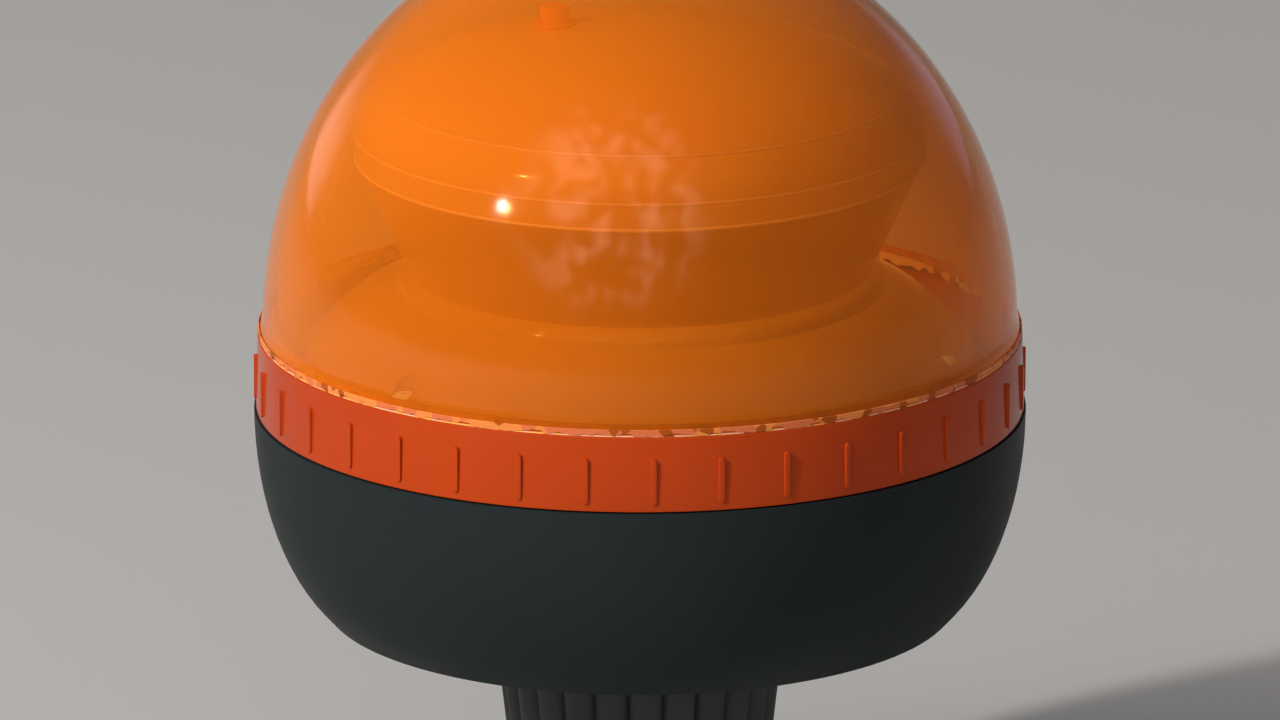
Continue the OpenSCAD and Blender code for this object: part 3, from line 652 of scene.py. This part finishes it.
def ribBar(look):
    # one rounded rib, at its place on the +X side
    half = look["ribWidth"] / 2
    low = collarLowZ + look["ribLow"] + half
    high = collarLowZ + look["ribLow"] + look["ribHeight"] - half
    bm = bmesh.new()
    rings = []
    inside, proud = look["topRadius"] - 1, look["ribProud"] + look["radius"]
    for radius, inset in ((inside, 0), (proud - 0.12, 0), (proud - 0.03, 0.05), (proud, 0.18)):
        wide = half - inset
        outline = (ellipseArc(high, wide, wide, 0, math.pi, 8)
                   + ellipseArc(low, wide, wide, math.pi, 2 * math.pi, 8))
        rings.append([bm.verts.new((radius * mm, y * mm, z * mm)) for y, z in outline])
    bridge(bm, rings)
    bm.faces.new(rings[0][::-1])
    bm.faces.new(rings[-1])
    return newPiece("ribBar", bm)


def makeCollar(look):
    bm = bmesh.new()
    addRevolve(bm, rounded([
        (look["inner"], collarLowZ, 0.25), (look["radius"], collarLowZ, 0.15),
        (look["topRadius"], rimZ, 0.35), (look["inner"], rimZ, 0.1)]), 216)
    lugLow = shoulderZ + look["lugLow"]
    for k in range(look["lugs"]):
        addArcBlock(bm, look["lugInner"], look["inner"] + 1, lugLow, lugLow + look["lugHeight"],
                    look["lugStart"] + 360 * k / look["lugs"], look["lugArc"])
    piece = newPiece("ribbed_collar", bm, collarPlastic)
    bar = ribBar(look)
    attach(piece, ringOf, {
        "Piece": bar, "Count": look["ribs"], "Ring": 0.0, "Height": 0.0,
        "Start": math.radians(look["ribTurn"] - 90), "Own Turn": 0.0, "Seed": 1,
        "Material": collarPlastic})
    settle(piece)
    drop(bar)
    smooth(piece, 30)
    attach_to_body(piece, "lens")
    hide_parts("lens_collar")


makeCollar(collarLook)
print("collar made")


# The weld between dome and collar

weldLook = {
    "inner": 66.15,
    "wall": 0.6,
    "low": 0.45,             # below the collar's top edge
    "high": 1.3,             # above it, like the lift
    "outer": 70.15,
    "lift": 0.02,
    "lip": 0.22,             # the thickness of the flash on the dome's foot
    "lipHeight": 1.35,
    "notches": 190,
    "rise": 1.0,
    "lipRise": 0.75,
    "patchScale": 420,
    "secondShare": 0.22,     # where the second tone starts, and the third
    "thirdShare": 0.62,
    "rough": (0.3, 0.55),
    "glossScale": 200,
    "shader": {"Specular IOR Level": 0.1},
    # three tones each: the flash outside, what faces the axis and the washer (paler, painted
    # light), and the ring's outer face (darker, painted shade)
    "flashTones": ((0.42, 0.085, 0.01), (0.72, 0.17, 0.06), (0.85, 0.25, 0.06)),
    "paintedLightTones": ((0.45, 0.1, 0.03), (1, 0.52, 0.32), (1, 0.5, 0.12)),
    "paintedShadeTones": ((0.5, 0.2, 0.03), (0.55, 0.23, 0.045), (0.6, 0.26, 0.05)),
}


def weldFinish(name, look, tones):
    finish, tree, shader, where = startMaterial(name)
    cells = place(tree, "ShaderNodeTexVoronoi", {"Vector": where, "Scale": look["patchScale"]})
    chance = place(tree, "ShaderNodeSeparateColor", {0: cells.outputs["Color"]})
    ramp = tree.nodes.new("ShaderNodeValToRGB")
    ramp.color_ramp.interpolation = "CONSTANT"
    stops = ramp.color_ramp.elements
    stops[0].color = rgba(tones[0])
    stops[1].position, stops[1].color = look["secondShare"], rgba(tones[1])
    stops.new(look["thirdShare"]).color = rgba(tones[2])
    feed(tree, ramp.inputs[0], chance.outputs[0])
    feed(tree, shader.inputs["Base Color"], ramp.outputs[0])
    addGloss(tree, shader, where, look)
    setSockets(shader, look)
    return finish


def makeWeld(look):
    # a ring inside the dome's foot, a washer on the collar's top edge and a flash round the
    # outside of the foot
    flash = weldFinish("weldFlash", look, look["flashTones"])
    # the paler finish is painted light, the darker one painted shade
    inner = weldFinish("weldPaintedLight", look, look["paintedLightTones"])
    shadedFinish = weldFinish("weldPaintedShade", look, look["paintedShadeTones"])
    ringLow, ringTop, lipLow = rimZ - look["low"], rimZ + look["high"], rimZ + look["lift"]
    washerTop = rimZ + domeLook["weldGap"] - 0.05
    ringOuter, washerOuter = look["inner"] + look["wall"], look["outer"] - 0.1
    lipInner, lipTop = look["outer"] - look["lip"], lipLow + look["lipHeight"]
    parts = {
        "weld_line": ([
            (ringOuter, ringLow), (ringOuter, ringTop - 0.5), (ringOuter, ringTop),
            (look["inner"], ringTop), (look["inner"], ringTop - 0.5),
            (look["inner"], ringLow)], ringLow, ringTop - 0.3, look["rise"], shadedFinish),
        "weld_washer": ([
            (ringOuter, lipLow), (washerOuter, lipLow), (washerOuter, washerTop),
            (ringOuter, washerTop)], lipLow - 1, lipLow - 0.5, 0.0, inner),
        "weld_flash": ([
            (lipInner, lipLow), (look["outer"], lipLow), (look["outer"], lipLow + 0.45),
            (look["outer"], lipTop - 0.1), (lipInner + 0.1, lipTop), (lipInner, lipTop - 0.1),
            (lipInner, lipLow + 0.45)], lipLow, lipTop - 0.3, look["lipRise"], flash),
    }
    # each with the heights between which it is ragged, and how far its notches rise
    for name, (profile, low, high, rise, finish) in parts.items():
        piece = revolved(name, profile, finish, look["notches"] * 6)
        attach(piece, raggedEdge, {
            "Notches": float(look["notches"]), "Low": low * mm, "High": high * mm,
            "Rise": rise * mm, "Seed": 4.0, "Material": finish})
        settle(piece)
        # faces towards the axis take the paler tones (painted light); the ring's outer faces keep
        # the darker tones (painted shade)
        piece.data.materials.append(inner)
        for face in piece.data.polygons:
            if face.normal.x * face.center.x + face.normal.y * face.center.y < 0:
                face.material_index = len(piece.data.materials) - 1
        smooth(piece, 30)
        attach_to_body(piece, "lens")


makeWeld(weldLook)
print("weld made")


# The base

baseLook = {
    "tone": (0.017, 0.022, 0.024),
    "secondTone": (0.019, 0.025, 0.027),
    "driftScale": 18,
    "rough": (0.42, 0.52),
    "glossScale": 30,
    "grainScale": 1400,
    "grain": 0.35,
    "pits": 0.3,
    "shader": {"Specular IOR Level": 0.06},
}
finishNode("base_housing", moulded("baseSlate", baseLook))
print("base finished")


# The fluted socket

socketLook = {
    "mouth": 22.5,
    "shoulder": 28,
    "flare": 2.2,
    "flutes": 24,
    "firstGroove": 10,
    "grooveDepth": 1.8,
    "columnsPerFlute": 12,
    "levels": 26,
    "band": 5,
    "bandProud": 0.4,
    "seat": 15.05,            # round the sleeve
    "seatDrop": 3.2,          # of its top, below the base's underside
    "grooveInner": 18,        # the grooves leave alone what lies further in
    "neck": 22,
    "flange": 31,
    "flangeThickness": 4,
    "duct": 8,
    "bushHole": 5.05,
    "bushHeight": 16,
    "screws": 4,
    "screwRing": 26.5,
    "screwHole": 2.05,
    "tone": (0.056, 0.059, 0.063),
    "secondTone": (0.046, 0.049, 0.052),
    "driftScale": 45,
    "rough": (0.48, 0.62),
    "grainScale": 900,
    "grain": 0.3,
    "pits": 0.2,
    "shader": {"Specular IOR Level": 0.2},
}
socketRubber = moulded("socketRubber", socketLook)


def makeSocket(look):
    length = undersideZ
    top = highest("pole_socket")
    seatTop = length - look["seatDrop"]
    band, proud = look["band"], look["bandProud"]
    wall = []
    for k in range(look["levels"] + 1):
        z = band + (length - 2 * band) * k / look["levels"]
        wall.append((look["mouth"] + (look["shoulder"] - look["mouth"])
                     * (z / length) ** look["flare"], z))
    flangeLow = top - look["flangeThickness"]
    profile = [
        *rounded([(look["seat"], 0, 0.4), (look["mouth"] + proud, 0, 0.8),
                  (look["mouth"] + proud, band, 0.3), (look["mouth"] - 0.4, band, 0)])[:-1],
        *wall,
        *rounded([(look["shoulder"] - 0.4, length - band, 0),
                  (look["shoulder"] + proud, length - band, 0.3),
                  (look["shoulder"] + proud, length, 0.4), (look["neck"], length, 0),
                  (look["neck"], flangeLow, 0), (look["flange"], flangeLow, 0.3),
                  (look["flange"], top, 0.3), (look["duct"], top, 0),
                  (look["duct"], seatTop, 0), (look["seat"], seatTop, 0)])[1:]]
    piece = revolved("fluted_socket", profile, socketRubber,
                     look["flutes"] * look["columnsPerFlute"])
    attach(piece, fluting, {
        "Flutes": look["flutes"], "First Groove": math.radians(look["firstGroove"]),
        "Depth": look["grooveDepth"] * mm, "Inner Radius": look["grooveInner"] * mm,
        "Low": (band - 0.01) * mm, "High": (length - band + 0.01) * mm,
        "Material": socketRubber})
    settle(piece)
    holes = [rod("bushHole", look["bushHole"], (0, 10, look["bushHeight"]),
                 (0, 45, look["bushHeight"]))]
    for x, y in ringSpots(look["screwRing"], look["screws"], 45):
        holes.append(rod("screwHole", look["screwHole"], (x, y, flangeLow - 1), (x, y, top + 1)))
    combine(piece, holes, "DIFFERENCE")
    paint(piece, socketRubber)
    smooth(piece, 38)
    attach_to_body(piece, "base")
    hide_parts("pole_socket")


makeSocket(socketLook)
print("socket made")


# The inner optic and its cap

opticLook = {
    "radius": 61.75,
    "wall": 2,
    "edgeHeight": 9,
    "roundWidth": 1.6,
    "roundHeight": 2.2,
    "neckRadius": 45.25,
    "neckHeight": 22.4,
    "bulgeOut": 0.58,        # of the way from the neck out to the edge
    "bulgeDown": 0.32,       # of the way from the neck down to the edge
    "inward": (-0.6, -0.9),  # from the slope's outside to its inside, in walls
    "stepWidth": 2.7,
    "stepHeight": 3.2,
    "coneHeight": 21,
    "coneOut": 9.7,
    "rimHeight": 4.8,
    "capRise": 20,
    "capSpigot": 2,
    "crease": 0.92,          # of the cap's radius, where its rounded edge meets the crown
    "creaseStep": 0.5,
    "screwSeat": 11.4,
    "pillar": 3.35,
    "pillarRise": 1.2,       # over the screw's seat, and still inside the slope's wall
    "screwHole": 1.55,
    "headHole": 2.35,
    "tone": (0.7, 0.36, 0.075),
    "secondTone": (0.66, 0.33, 0.065),
    "tint": (1, 0.9, 0.75),
    "solid": 0.68,
    "edge": 0.97,
    "edgeFall": 2,
    "driftScale": 16,
    "rough": (0.08, 0.16),
    "glossScale": 25,
    "shader": {"IOR": 1.5, "Specular IOR Level": 0.8, "Sheen Weight": 0.5,
               "Sheen Roughness": 0.25, "Sheen Tint": (1, 0.72, 0.5, 1)},
}
opticPlastic = clear("opticClear", opticLook)
# the cap is paler than the optic under it: painted light on the top
capPaintedLightTones = {"tone": (0.93, 0.54, 0.16), "secondTone": (0.88, 0.49, 0.14)}
capPaintedLightPlastic = clear("capClearPaintedLight", {**opticLook, **capPaintedLightTones})
# the beads' pale tone is a painted highlight on the cap's edges
beadHighlightLook = {
    "radius": 0.32,
    "tone": (1, 0.66, 0.4),
    "secondTone": (0.95, 0.6, 0.34),
    "rough": (0.12, 0.2),
    "shader": {"Specular IOR Level": 1.0},
}


def bend(a, b, c, steps):
    return [tuple(Vector(a) * (1 - t) ** 2 + Vector(b) * 2 * t * (1 - t) + Vector(c) * t * t)
            for t in [k / steps for k in range(steps + 1)]]


def makeOptic(look, screws):
    seat = lowest("light_optic")
    neckZ = seat + look["neckHeight"]
    coneZ = neckZ + look["stepHeight"]
    coneRadius = look["neckRadius"] - look["stepWidth"]
    capRadius, coneTop = coneRadius + look["coneOut"], coneZ + look["coneHeight"]
    edgeZ = seat + look["edgeHeight"]
    low = (look["radius"] - look["roundWidth"], edgeZ + look["roundHeight"])
    high = (look["neckRadius"], neckZ)
    bulge = (look["neckRadius"] + (look["radius"] - look["neckRadius"]) * look["bulgeOut"],
             neckZ - (neckZ - low[1]) * look["bulgeDown"])
    wall = look["wall"]
    inward = Vector(look["inward"]) * wall
    slope = [*bend((look["radius"], edgeZ), (look["radius"], edgeZ + look["roundHeight"] * 0.6),
                   low, 10), *bend(low, bulge, high, 28)[1:]]
    outside = [(look["radius"], seat), *slope,
               *bend(high, (look["neckRadius"], coneZ - look["stepHeight"] * 0.3),
                     (coneRadius, coneZ), 12)[1:],
               (capRadius - 0.25, coneTop - 0.3), (capRadius - 0.3, coneTop)]
    inside = [(capRadius - wall, coneTop), (coneRadius - wall, coneZ),
              *bend((coneRadius - wall, coneZ),
                    (look["neckRadius"] - wall, coneZ - look["stepHeight"] * 0.3),
                    Vector(high) - Vector((wall, wall / 2)), 10)[1:],
              *bend(Vector(high) + inward, Vector(bulge) + inward, Vector(low) + inward, 24),
              (look["radius"] - wall, edgeZ), (look["radius"] - wall, seat)]
    piece = revolved("clear_optic", [*outside, *inside], opticPlastic, 240)
    pillars, holes, headSeat = [], [], seat + look["screwSeat"]
    for x, y in ringSpots(screws["ring"], screws["count"], screws["start"]):
        pillars.append(rod("pillar", look["pillar"], (x, y, seat),
                           (x, y, headSeat + look["pillarRise"])))
        holes.append(rod("head", look["headHole"], (x, y, headSeat), (x, y, neckZ)))
        holes.append(rod("shank", look["screwHole"], (x, y, seat - 1), (x, y, headSeat + 1)))
    # what sticks out of the rounded edge is cut off by a turned sleeve
    sleeve = revolved("sleeve", [(look["radius"], seat - 2), *slope[:20],
                                 (slope[19][0], neckZ), (80, neckZ), (80, seat - 2)], None, 240)
    for pillar in pillars:
        combine(pillar, [sleeve], "DIFFERENCE", used=False)
    drop(sleeve)
    combine(piece, pillars, "UNION")
    combine(piece, holes, "DIFFERENCE")
    paint(piece, opticPlastic)
    smooth(piece, 28)
    piece.visible_shadow = False      # it lets the light through to the weld
    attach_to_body(piece, "base")
    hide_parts("light_optic")
    return coneTop, capRadius


def makeBeads(look, places):
    # thin raised beads where the cap's forms meet; they catch the lamps' highlights, and their
    # pale tone is a painted highlight along these lines
    finish = moulded("capBeadPaintedHighlight", look)
    turns = [2 * math.pi * k / 10 for k in range(10)]
    for name, (radius, height) in places.items():
        section = [(radius + look["radius"] * math.cos(t), height + look["radius"] * math.sin(t))
                   for t in turns]
        piece = revolved(name, section, finish, 240)
        piece.visible_shadow = False
        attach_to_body(piece, "base")


def makeCap(look, coneTop, capRadius, vent):
    capZ, wall = coneTop + look["rimHeight"], look["wall"]
    inner = capRadius - wall
    spigot = inner - 0.05
    spigotLow = spigot - look["capSpigot"] * look["coneOut"] / look["coneHeight"]
    rise = look["capRise"]
    crease = look["crease"]
    edge = ellipseArc(capZ, capRadius, rise, 0, math.acos(crease), 10)
    crown = ellipseArc(capZ - look["creaseStep"], capRadius, rise, math.acos(crease - 0.006),
                       math.pi / 2, 40)
    crown[-1] = (0, crown[-1][1])
    under = ellipseArc(capZ, inner, rise - wall, math.pi / 2, 0, 44)
    under[0] = (0, under[0][1])
    piece = revolved("clear_cap", [
        (spigotLow - wall, coneTop - look["capSpigot"]), (spigotLow, coneTop - look["capSpigot"]),
        (spigot, coneTop), (capRadius - 0.35, coneTop), (capRadius, coneTop + 0.35),
        *edge, *crown, *under, (spigot - wall, coneTop)], capPaintedLightPlastic, 240)
    ventLow = lowest("vent_plug")
    seat = ventLow + vent["stemLength"]
    x, y = vent["x"], vent["y"]
    combine(piece, [
        rod("flangeHole", vent["flange"] + 0.05, (x, y, seat), (x, y, seat + 12)),
        rod("stemHole", vent["stem"] + 0.05, (x, y, ventLow - 1), (x, y, seat + 1)),
    ], "DIFFERENCE")
    paint(piece, capPaintedLightPlastic)
    smooth(piece, 28)
    piece.visible_shadow = False
    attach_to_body(piece, "base")
    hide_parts("optic_cap")
    makeBeads(beadHighlightLook, {"crown_bead": edge[-1], "seam_bead": (capRadius - 0.1, coneTop),
                         "rim_bead": (capRadius, capZ)})


ventLook = {
    "x": -15.6,
    "y": 3.5,
    "stud": 2.75,
    "flange": 3.75,
    "flangeThickness": 1.2,
    "stem": 1.5,
    "stemLength": 3,
    "tone": (0.85, 0.2, 0.05),
    "secondTone": (0.8, 0.17, 0.04),
    "rough": (0.3, 0.42),
    "grainScale": 500,
    "grain": 0.1,
}
ventPlastic = moulded("ventOrange", ventLook)


def makeVent(look):
    low, top = lowest("vent_plug"), highest("vent_plug")
    flangeLow = low + look["stemLength"]
    flangeTop = flangeLow + look["flangeThickness"]
    piece = revolved("vent_stud", rounded([
        (0, low, 0), (look["stem"], low, 0.3), (look["stem"], flangeLow, 0),
        (look["flange"], flangeLow, 0.2), (look["flange"], flangeTop, 0.4),
        (look["stud"], flangeTop, 0.15),
        (look["stud"], top, 0.5), (0, top, 0)]), ventPlastic, 48)
    for vertex in piece.data.vertices:
        vertex.co.x += look["x"] * mm
        vertex.co.y += look["y"] * mm
    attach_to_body(piece, "base")
    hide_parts("vent_plug")


makeVent(ventLook)
opticScrews = {"node": "optic_screws", "name": "optic_screw_set", "count": 3, "ring": 58.35,
               "start": -17, "radius": 1.5, "headRadius": 2.25, "headHeight": 1.5, "pitch": 0.8,
               "seed": 5}
makeCap(opticLook, *makeOptic(opticLook, opticScrews), ventLook)
print("optic finished")


# Screws, with real threads and cross recesses

steelLook = {
    "tone": (0.97, 0.97, 0.98),
    "secondTone": (0.9, 0.9, 0.91),
    "driftScale": 300,
    "rough": (0.4, 0.55),
    "glossScale": 400,
    "grainScale": 2500,
    "grain": 0.12,
    "shader": {"Metallic": 0.1},
}
zincSteel = moulded("zincSteel", steelLook)


def screwBody(name, radius, length, headRadius, headHeight, pitch):
    # one screw that points down, with its head's seat at the origin
    bm = bmesh.new()
    columns = 16
    rows = int(length / pitch * 6)
    root = radius * 0.8
    rings = []
    for j in range(rows + 1):
        z = headHeight * 0.4 - (length + headHeight * 0.4) * j / rows
        ring = []
        for k in range(columns):
            turn = 2 * math.pi * k / columns
            wave = abs(2 * ((z / pitch - k / columns) % 1) - 1)
            thread = max(0, wave - 0.3) / 0.7 if z < -pitch else 0
            taper = min(1, (length + z) / radius + 0.45)
            r = (root + (radius - root) * thread) * taper
            ring.append(bm.verts.new((*onCircle(r * mm, turn), z * mm)))
        rings.append(ring)
    bridge(bm, rings)
    bm.faces.new(rings[0])
    bm.faces.new(rings[-1][::-1])
    head = [(0, 0), (headRadius * 0.97, 0), (headRadius, headHeight * 0.12)]
    head += [(headRadius * math.cos(t), headHeight * (0.3 + 0.7 * math.sin(t)))
             for t in [math.pi / 2 * k / 8 for k in range(8)]]
    head += [(0, headHeight)]
    addRevolve(bm, head, 40)
    piece = newPiece(name, bm)
    cutters = []
    for k in range(2):
        cross = bmesh.new()
        bmesh.ops.create_cube(cross, size=1)
        for vertex in cross.verts:
            deep = vertex.co.z < 0
            size = headRadius * (0.55 if deep else 1.15), headRadius * (0.2 if deep else 0.3)
            x, y = vertex.co.x * size[k], vertex.co.y * size[1 - k]
            vertex.co = (x * mm, y * mm, (headHeight * (0.3 if deep else 1.2)) * mm)
        cutters.append(newPiece(f"cross{k}", cross))
    combine(piece, cutters, "DIFFERENCE")
    return smooth(piece, 32)


boardScrews = {**opticScrews, "node": "board_screws", "name": "board_screw_set", "ring": 40,
               "start": 43, "seed": 9}
socketScrews = {"node": "socket_screws", "name": "socket_screw_set", "count": 4, "ring": 26.5,
                "start": 45, "radius": 2, "headRadius": 3.6, "headHeight": 2.4, "pitch": 1,
                "seed": 2}


def makeScrews(look):
    top, low = highest(look["node"]), lowest(look["node"])
    seat = top - look["headHeight"]
    model = screwBody(look["node"] + "_model", look["radius"], seat - low, look["headRadius"],
                      look["headHeight"], look["pitch"])
    bm = bmesh.new()
    piece = newPiece(look["name"], bm)
    attach(piece, ringOf, {
        "Piece": model, "Count": look["count"], "Ring": look["ring"] * mm, "Height": seat * mm,
        "Start": math.radians(look["start"]), "Own Turn": math.pi / 2, "Seed": look["seed"],
        "Material": zincSteel})
    settle(piece)
    drop(model)
    smooth(piece, 32)
    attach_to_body(piece, "base")
    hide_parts(look["node"])


for screws in (opticScrews, boardScrews, socketScrews):
    makeScrews(screws)
print("screws made")


# What the base and the optic hide

hiddenLooks = {
    "turnedAluminium": {
        "nodes": ("pole_sleeve", "heat_sink"),
        "tone": (0.66, 0.67, 0.69), "secondTone": (0.58, 0.59, 0.61), "driftScale": 60,
        "rough": (0.3, 0.42), "grainScale": 500, "grain": 0.15, "stretch": (1, 1, 0.05),
        "shader": {"Metallic": 1.0}},
    "turnedBrass": {
        "nodes": ("centre_contact", "earth_tab", "clamp_bush"),
        "tone": (0.72, 0.5, 0.2), "secondTone": (0.6, 0.4, 0.15), "driftScale": 150,
        "rough": (0.25, 0.4), "grainScale": 900, "grain": 0.1, "stretch": (1, 1, 0.08),
        "shader": {"Metallic": 1.0}},
    "plateSteel": {
        "nodes": ("clamp_screw", "socket_plate"),
        "tone": (0.55, 0.56, 0.58), "secondTone": (0.48, 0.49, 0.5), "driftScale": 80,
        "rough": (0.32, 0.46), "grainScale": 700, "grain": 0.15, "stretch": (0.05, 1, 1),
        "shader": {"Metallic": 1.0}},
    "blackPart": {
        "nodes": ("driver_capacitors", "pin_header"),
        "tone": (0.025, 0.03, 0.045), "secondTone": (0.02, 0.022, 0.03), "driftScale": 120,
        "rough": (0.3, 0.45), "grainScale": 900, "grain": 0.12},
    "carrierPlastic": {
        "nodes": ("contact_carrier",),
        "tone": (0.66, 0.6, 0.46), "secondTone": (0.6, 0.54, 0.41),
        "rough": (0.45, 0.6), "grainScale": 800, "grain": 0.2},
    "greenBoard": {
        "nodes": ("driver_board",),
        "tone": (0.02, 0.14, 0.05), "secondTone": (0.015, 0.11, 0.04), "driftScale": 90,
        "rough": (0.28, 0.4), "grainScale": 600, "grain": 0.12,
        "shader": {"Coat Weight": 0.3, "Coat Roughness": 0.2}},
    "whiteBoard": {
        "nodes": ("lamp_board",),
        "tone": (0.82, 0.82, 0.79), "secondTone": (0.76, 0.76, 0.72), "driftScale": 80,
        "rough": (0.3, 0.42), "grainScale": 700, "grain": 0.08},
    "copperWinding": {
        "nodes": ("driver_coil",),
        "tone": (0.42, 0.13, 0.045), "secondTone": (0.3, 0.085, 0.03), "driftScale": 200,
        "rough": (0.2, 0.32), "grainScale": 900, "grain": 0.4, "stretch": (0.05, 0.05, 1),
        "shader": {"Metallic": 0.8, "Coat Weight": 0.4}},
    "terminalGreen": {
        "nodes": ("terminal_block",),
        "tone": (0.05, 0.24, 0.09), "secondTone": (0.04, 0.2, 0.07), "driftScale": 90,
        "rough": (0.35, 0.48), "grainScale": 700, "grain": 0.15},
    "wireRed": {
        "nodes": ("feed_wire",),
        "tone": (0.42, 0.03, 0.02), "secondTone": (0.36, 0.025, 0.018),
        "rough": (0.35, 0.48), "grainScale": 600, "grain": 0.1},
    "wireBrown": {
        "nodes": ("earth_wire",),
        "tone": (0.12, 0.05, 0.022), "secondTone": (0.1, 0.04, 0.018),
        "rough": (0.35, 0.48), "grainScale": 600, "grain": 0.1},
    "lampYellow": {
        "nodes": ("lamps_ring",),
        "tone": (0.88, 0.68, 0.16), "secondTone": (0.82, 0.6, 0.12), "driftScale": 200,
        "rough": (0.15, 0.28), "grainScale": 900, "grain": 0.05},
    "sealRubber": {
        "nodes": ("lens_seal",),
        "tone": (0.02, 0.02, 0.021), "secondTone": (0.026, 0.026, 0.027),
        "rough": (0.6, 0.75), "grainScale": 900, "grain": 0.25},
}
for name, look in hiddenLooks.items():
    finish = moulded(name, look)
    for node in look["nodes"]:
        finishNode(node, finish)
print("hidden parts finished")


# Floor and lights

studio = {
    "floorSize": 40,
    "shader": {"Base Color": (0.58, 0.575, 0.565, 1), "Roughness": 0.85},   # the floor's
    "skyTone": (0.86, 0.88, 0.92),
    "skyStrength": 0.145,
    "glowFades": (0.25, 0.18),  # heights over which a glow comes in and goes out
}
# soft upright bands of light on the studio's walls, seen in the dome's flanks
glows = [
    {"towards": (-0.62, 0.78), "half": 13, "low": -0.3, "high": 0.06, "tone": (1, 0.7, 0.62),
     "strength": 1.4},
    {"towards": (0.50, 0.86), "half": 14, "low": -0.3, "high": 0.06, "tone": (0.75, 0.65, 1),
     "strength": 0.4},
]
# reach is in degrees, core the cosine of the angle within which the clouds are full
cloudLook = {"towards": (-0.15, -0.72, 0.68), "reach": 34, "core": 0.97, "scale": 6.5,
             "from": 0.47, "to": 0.6, "strength": 3.6, "tone": (1, 0.94, 0.9)}
lamps = {
    "key": {"towards": (-0.656, -0.502, 0.563), "distance": 2.4, "size": 0.15,
            "power": 31, "tone": (1, 0.97, 0.92), "mirrored": False},
    "spark": {"towards": (-0.656, -0.502, 0.563), "distance": 2.39, "size": 0.1,
              "power": 5, "tone": (1, 0.97, 0.92), "mirrored": True},
    "soft": {"towards": (-0.70, -0.45, 0.62), "distance": 2.2, "size": 1.1,
             "power": 15.5, "tone": (1, 0.97, 0.93), "mirrored": False},
    "fill": {"towards": (0.75, -0.35, 0.45), "distance": 2.6, "size": 1.2,
             "power": 1, "tone": (0.85, 0.88, 1), "mirrored": False},
}


def addLamp(name, look):
    light = bpy.data.lights.new(name, "AREA")
    light.shape, light.size, light.size_y = "ELLIPSE", look["size"], look["size"]
    light.energy, light.color = look["power"], look["tone"]
    lamp = addObject(name, light)
    middle = Vector((0, 0, shoulderZ * mm))
    way = Vector(look["towards"]).normalized()
    lamp.location = middle + way * look["distance"]
    lamp.rotation_euler = way.to_track_quat("Z", "Y").to_euler()
    lamp.visible_camera = False
    lamp.visible_glossy = look["mirrored"]


def makeFloor(look):
    bm = bmesh.new()
    bmesh.ops.create_grid(bm, x_segments=1, y_segments=1, size=look["floorSize"] / 2)
    finish, _, shader, _ = startMaterial("paleFloor")
    setSockets(shader, look)
    mesh = bpy.data.meshes.new("floor")
    bm.to_mesh(mesh)
    bm.free()
    mesh.materials.append(finish)
    floor = addObject("floor", mesh)


def makeSky(look):
    world = bpy.data.worlds.new("studioSky")
    world.use_nodes = True
    tree = world.node_tree
    sky = tree.nodes["Background"]
    way = tree.nodes.new("ShaderNodeTexCoord").outputs["Generated"]
    height = place(tree, "ShaderNodeSeparateXYZ", {0: way}).outputs["Z"]
    level = vectorCalc(tree, "NORMALIZE", vectorCalc(tree, "MULTIPLY", way, (1, 1, 0)))

    def step(value, low, high):
        return place(tree, "ShaderNodeMapRange",
                     {"Value": value, "From Min": low, "From Max": high},
                     interpolation_type="SMOOTHSTEP").outputs["Result"]

    def strengthened(tone, amount):
        return place(tree, "ShaderNodeVectorMath", {0: tone, "Scale": amount},
                     operation="SCALE").outputs[0]

    total = strengthened(look["skyTone"], look["skyStrength"])
    fadeIn, fadeOut = look["glowFades"]
    for glow in glows:
        near = vectorCalc(tree, "DOT_PRODUCT", level,
                          (*Vector(glow["towards"]).normalized(), 0))
        share = calc(tree, "MULTIPLY", step(near, math.cos(math.radians(glow["half"])), 1),
                     calc(tree, "MULTIPLY", step(height, glow["low"], glow["low"] + fadeIn),
                          step(height, glow["high"] + fadeOut, glow["high"])))
        band = strengthened(glow["tone"], calc(tree, "MULTIPLY", share, glow["strength"]))
        total = vectorCalc(tree, "ADD", total, band)
    noise = place(tree, "ShaderNodeTexNoise",
                  {"Vector": way, "Scale": cloudLook["scale"], "Detail": 7, "Roughness": 0.62,
                   "Distortion": 0.5}).outputs["Fac"]
    near = vectorCalc(tree, "DOT_PRODUCT", way, Vector(cloudLook["towards"]).normalized())
    share = calc(tree, "MULTIPLY", step(noise, cloudLook["from"], cloudLook["to"]),
                 step(near, math.cos(math.radians(cloudLook["reach"])), cloudLook["core"]))
    cloud = strengthened(cloudLook["tone"], calc(tree, "MULTIPLY", share, cloudLook["strength"]))
    feed(tree, sky.inputs["Color"], vectorCalc(tree, "ADD", total, cloud))
    scene.world = world


makeFloor(studio)
makeSky(studio)
for name, look in lamps.items():
    addLamp(name, look)
print("studio ready")
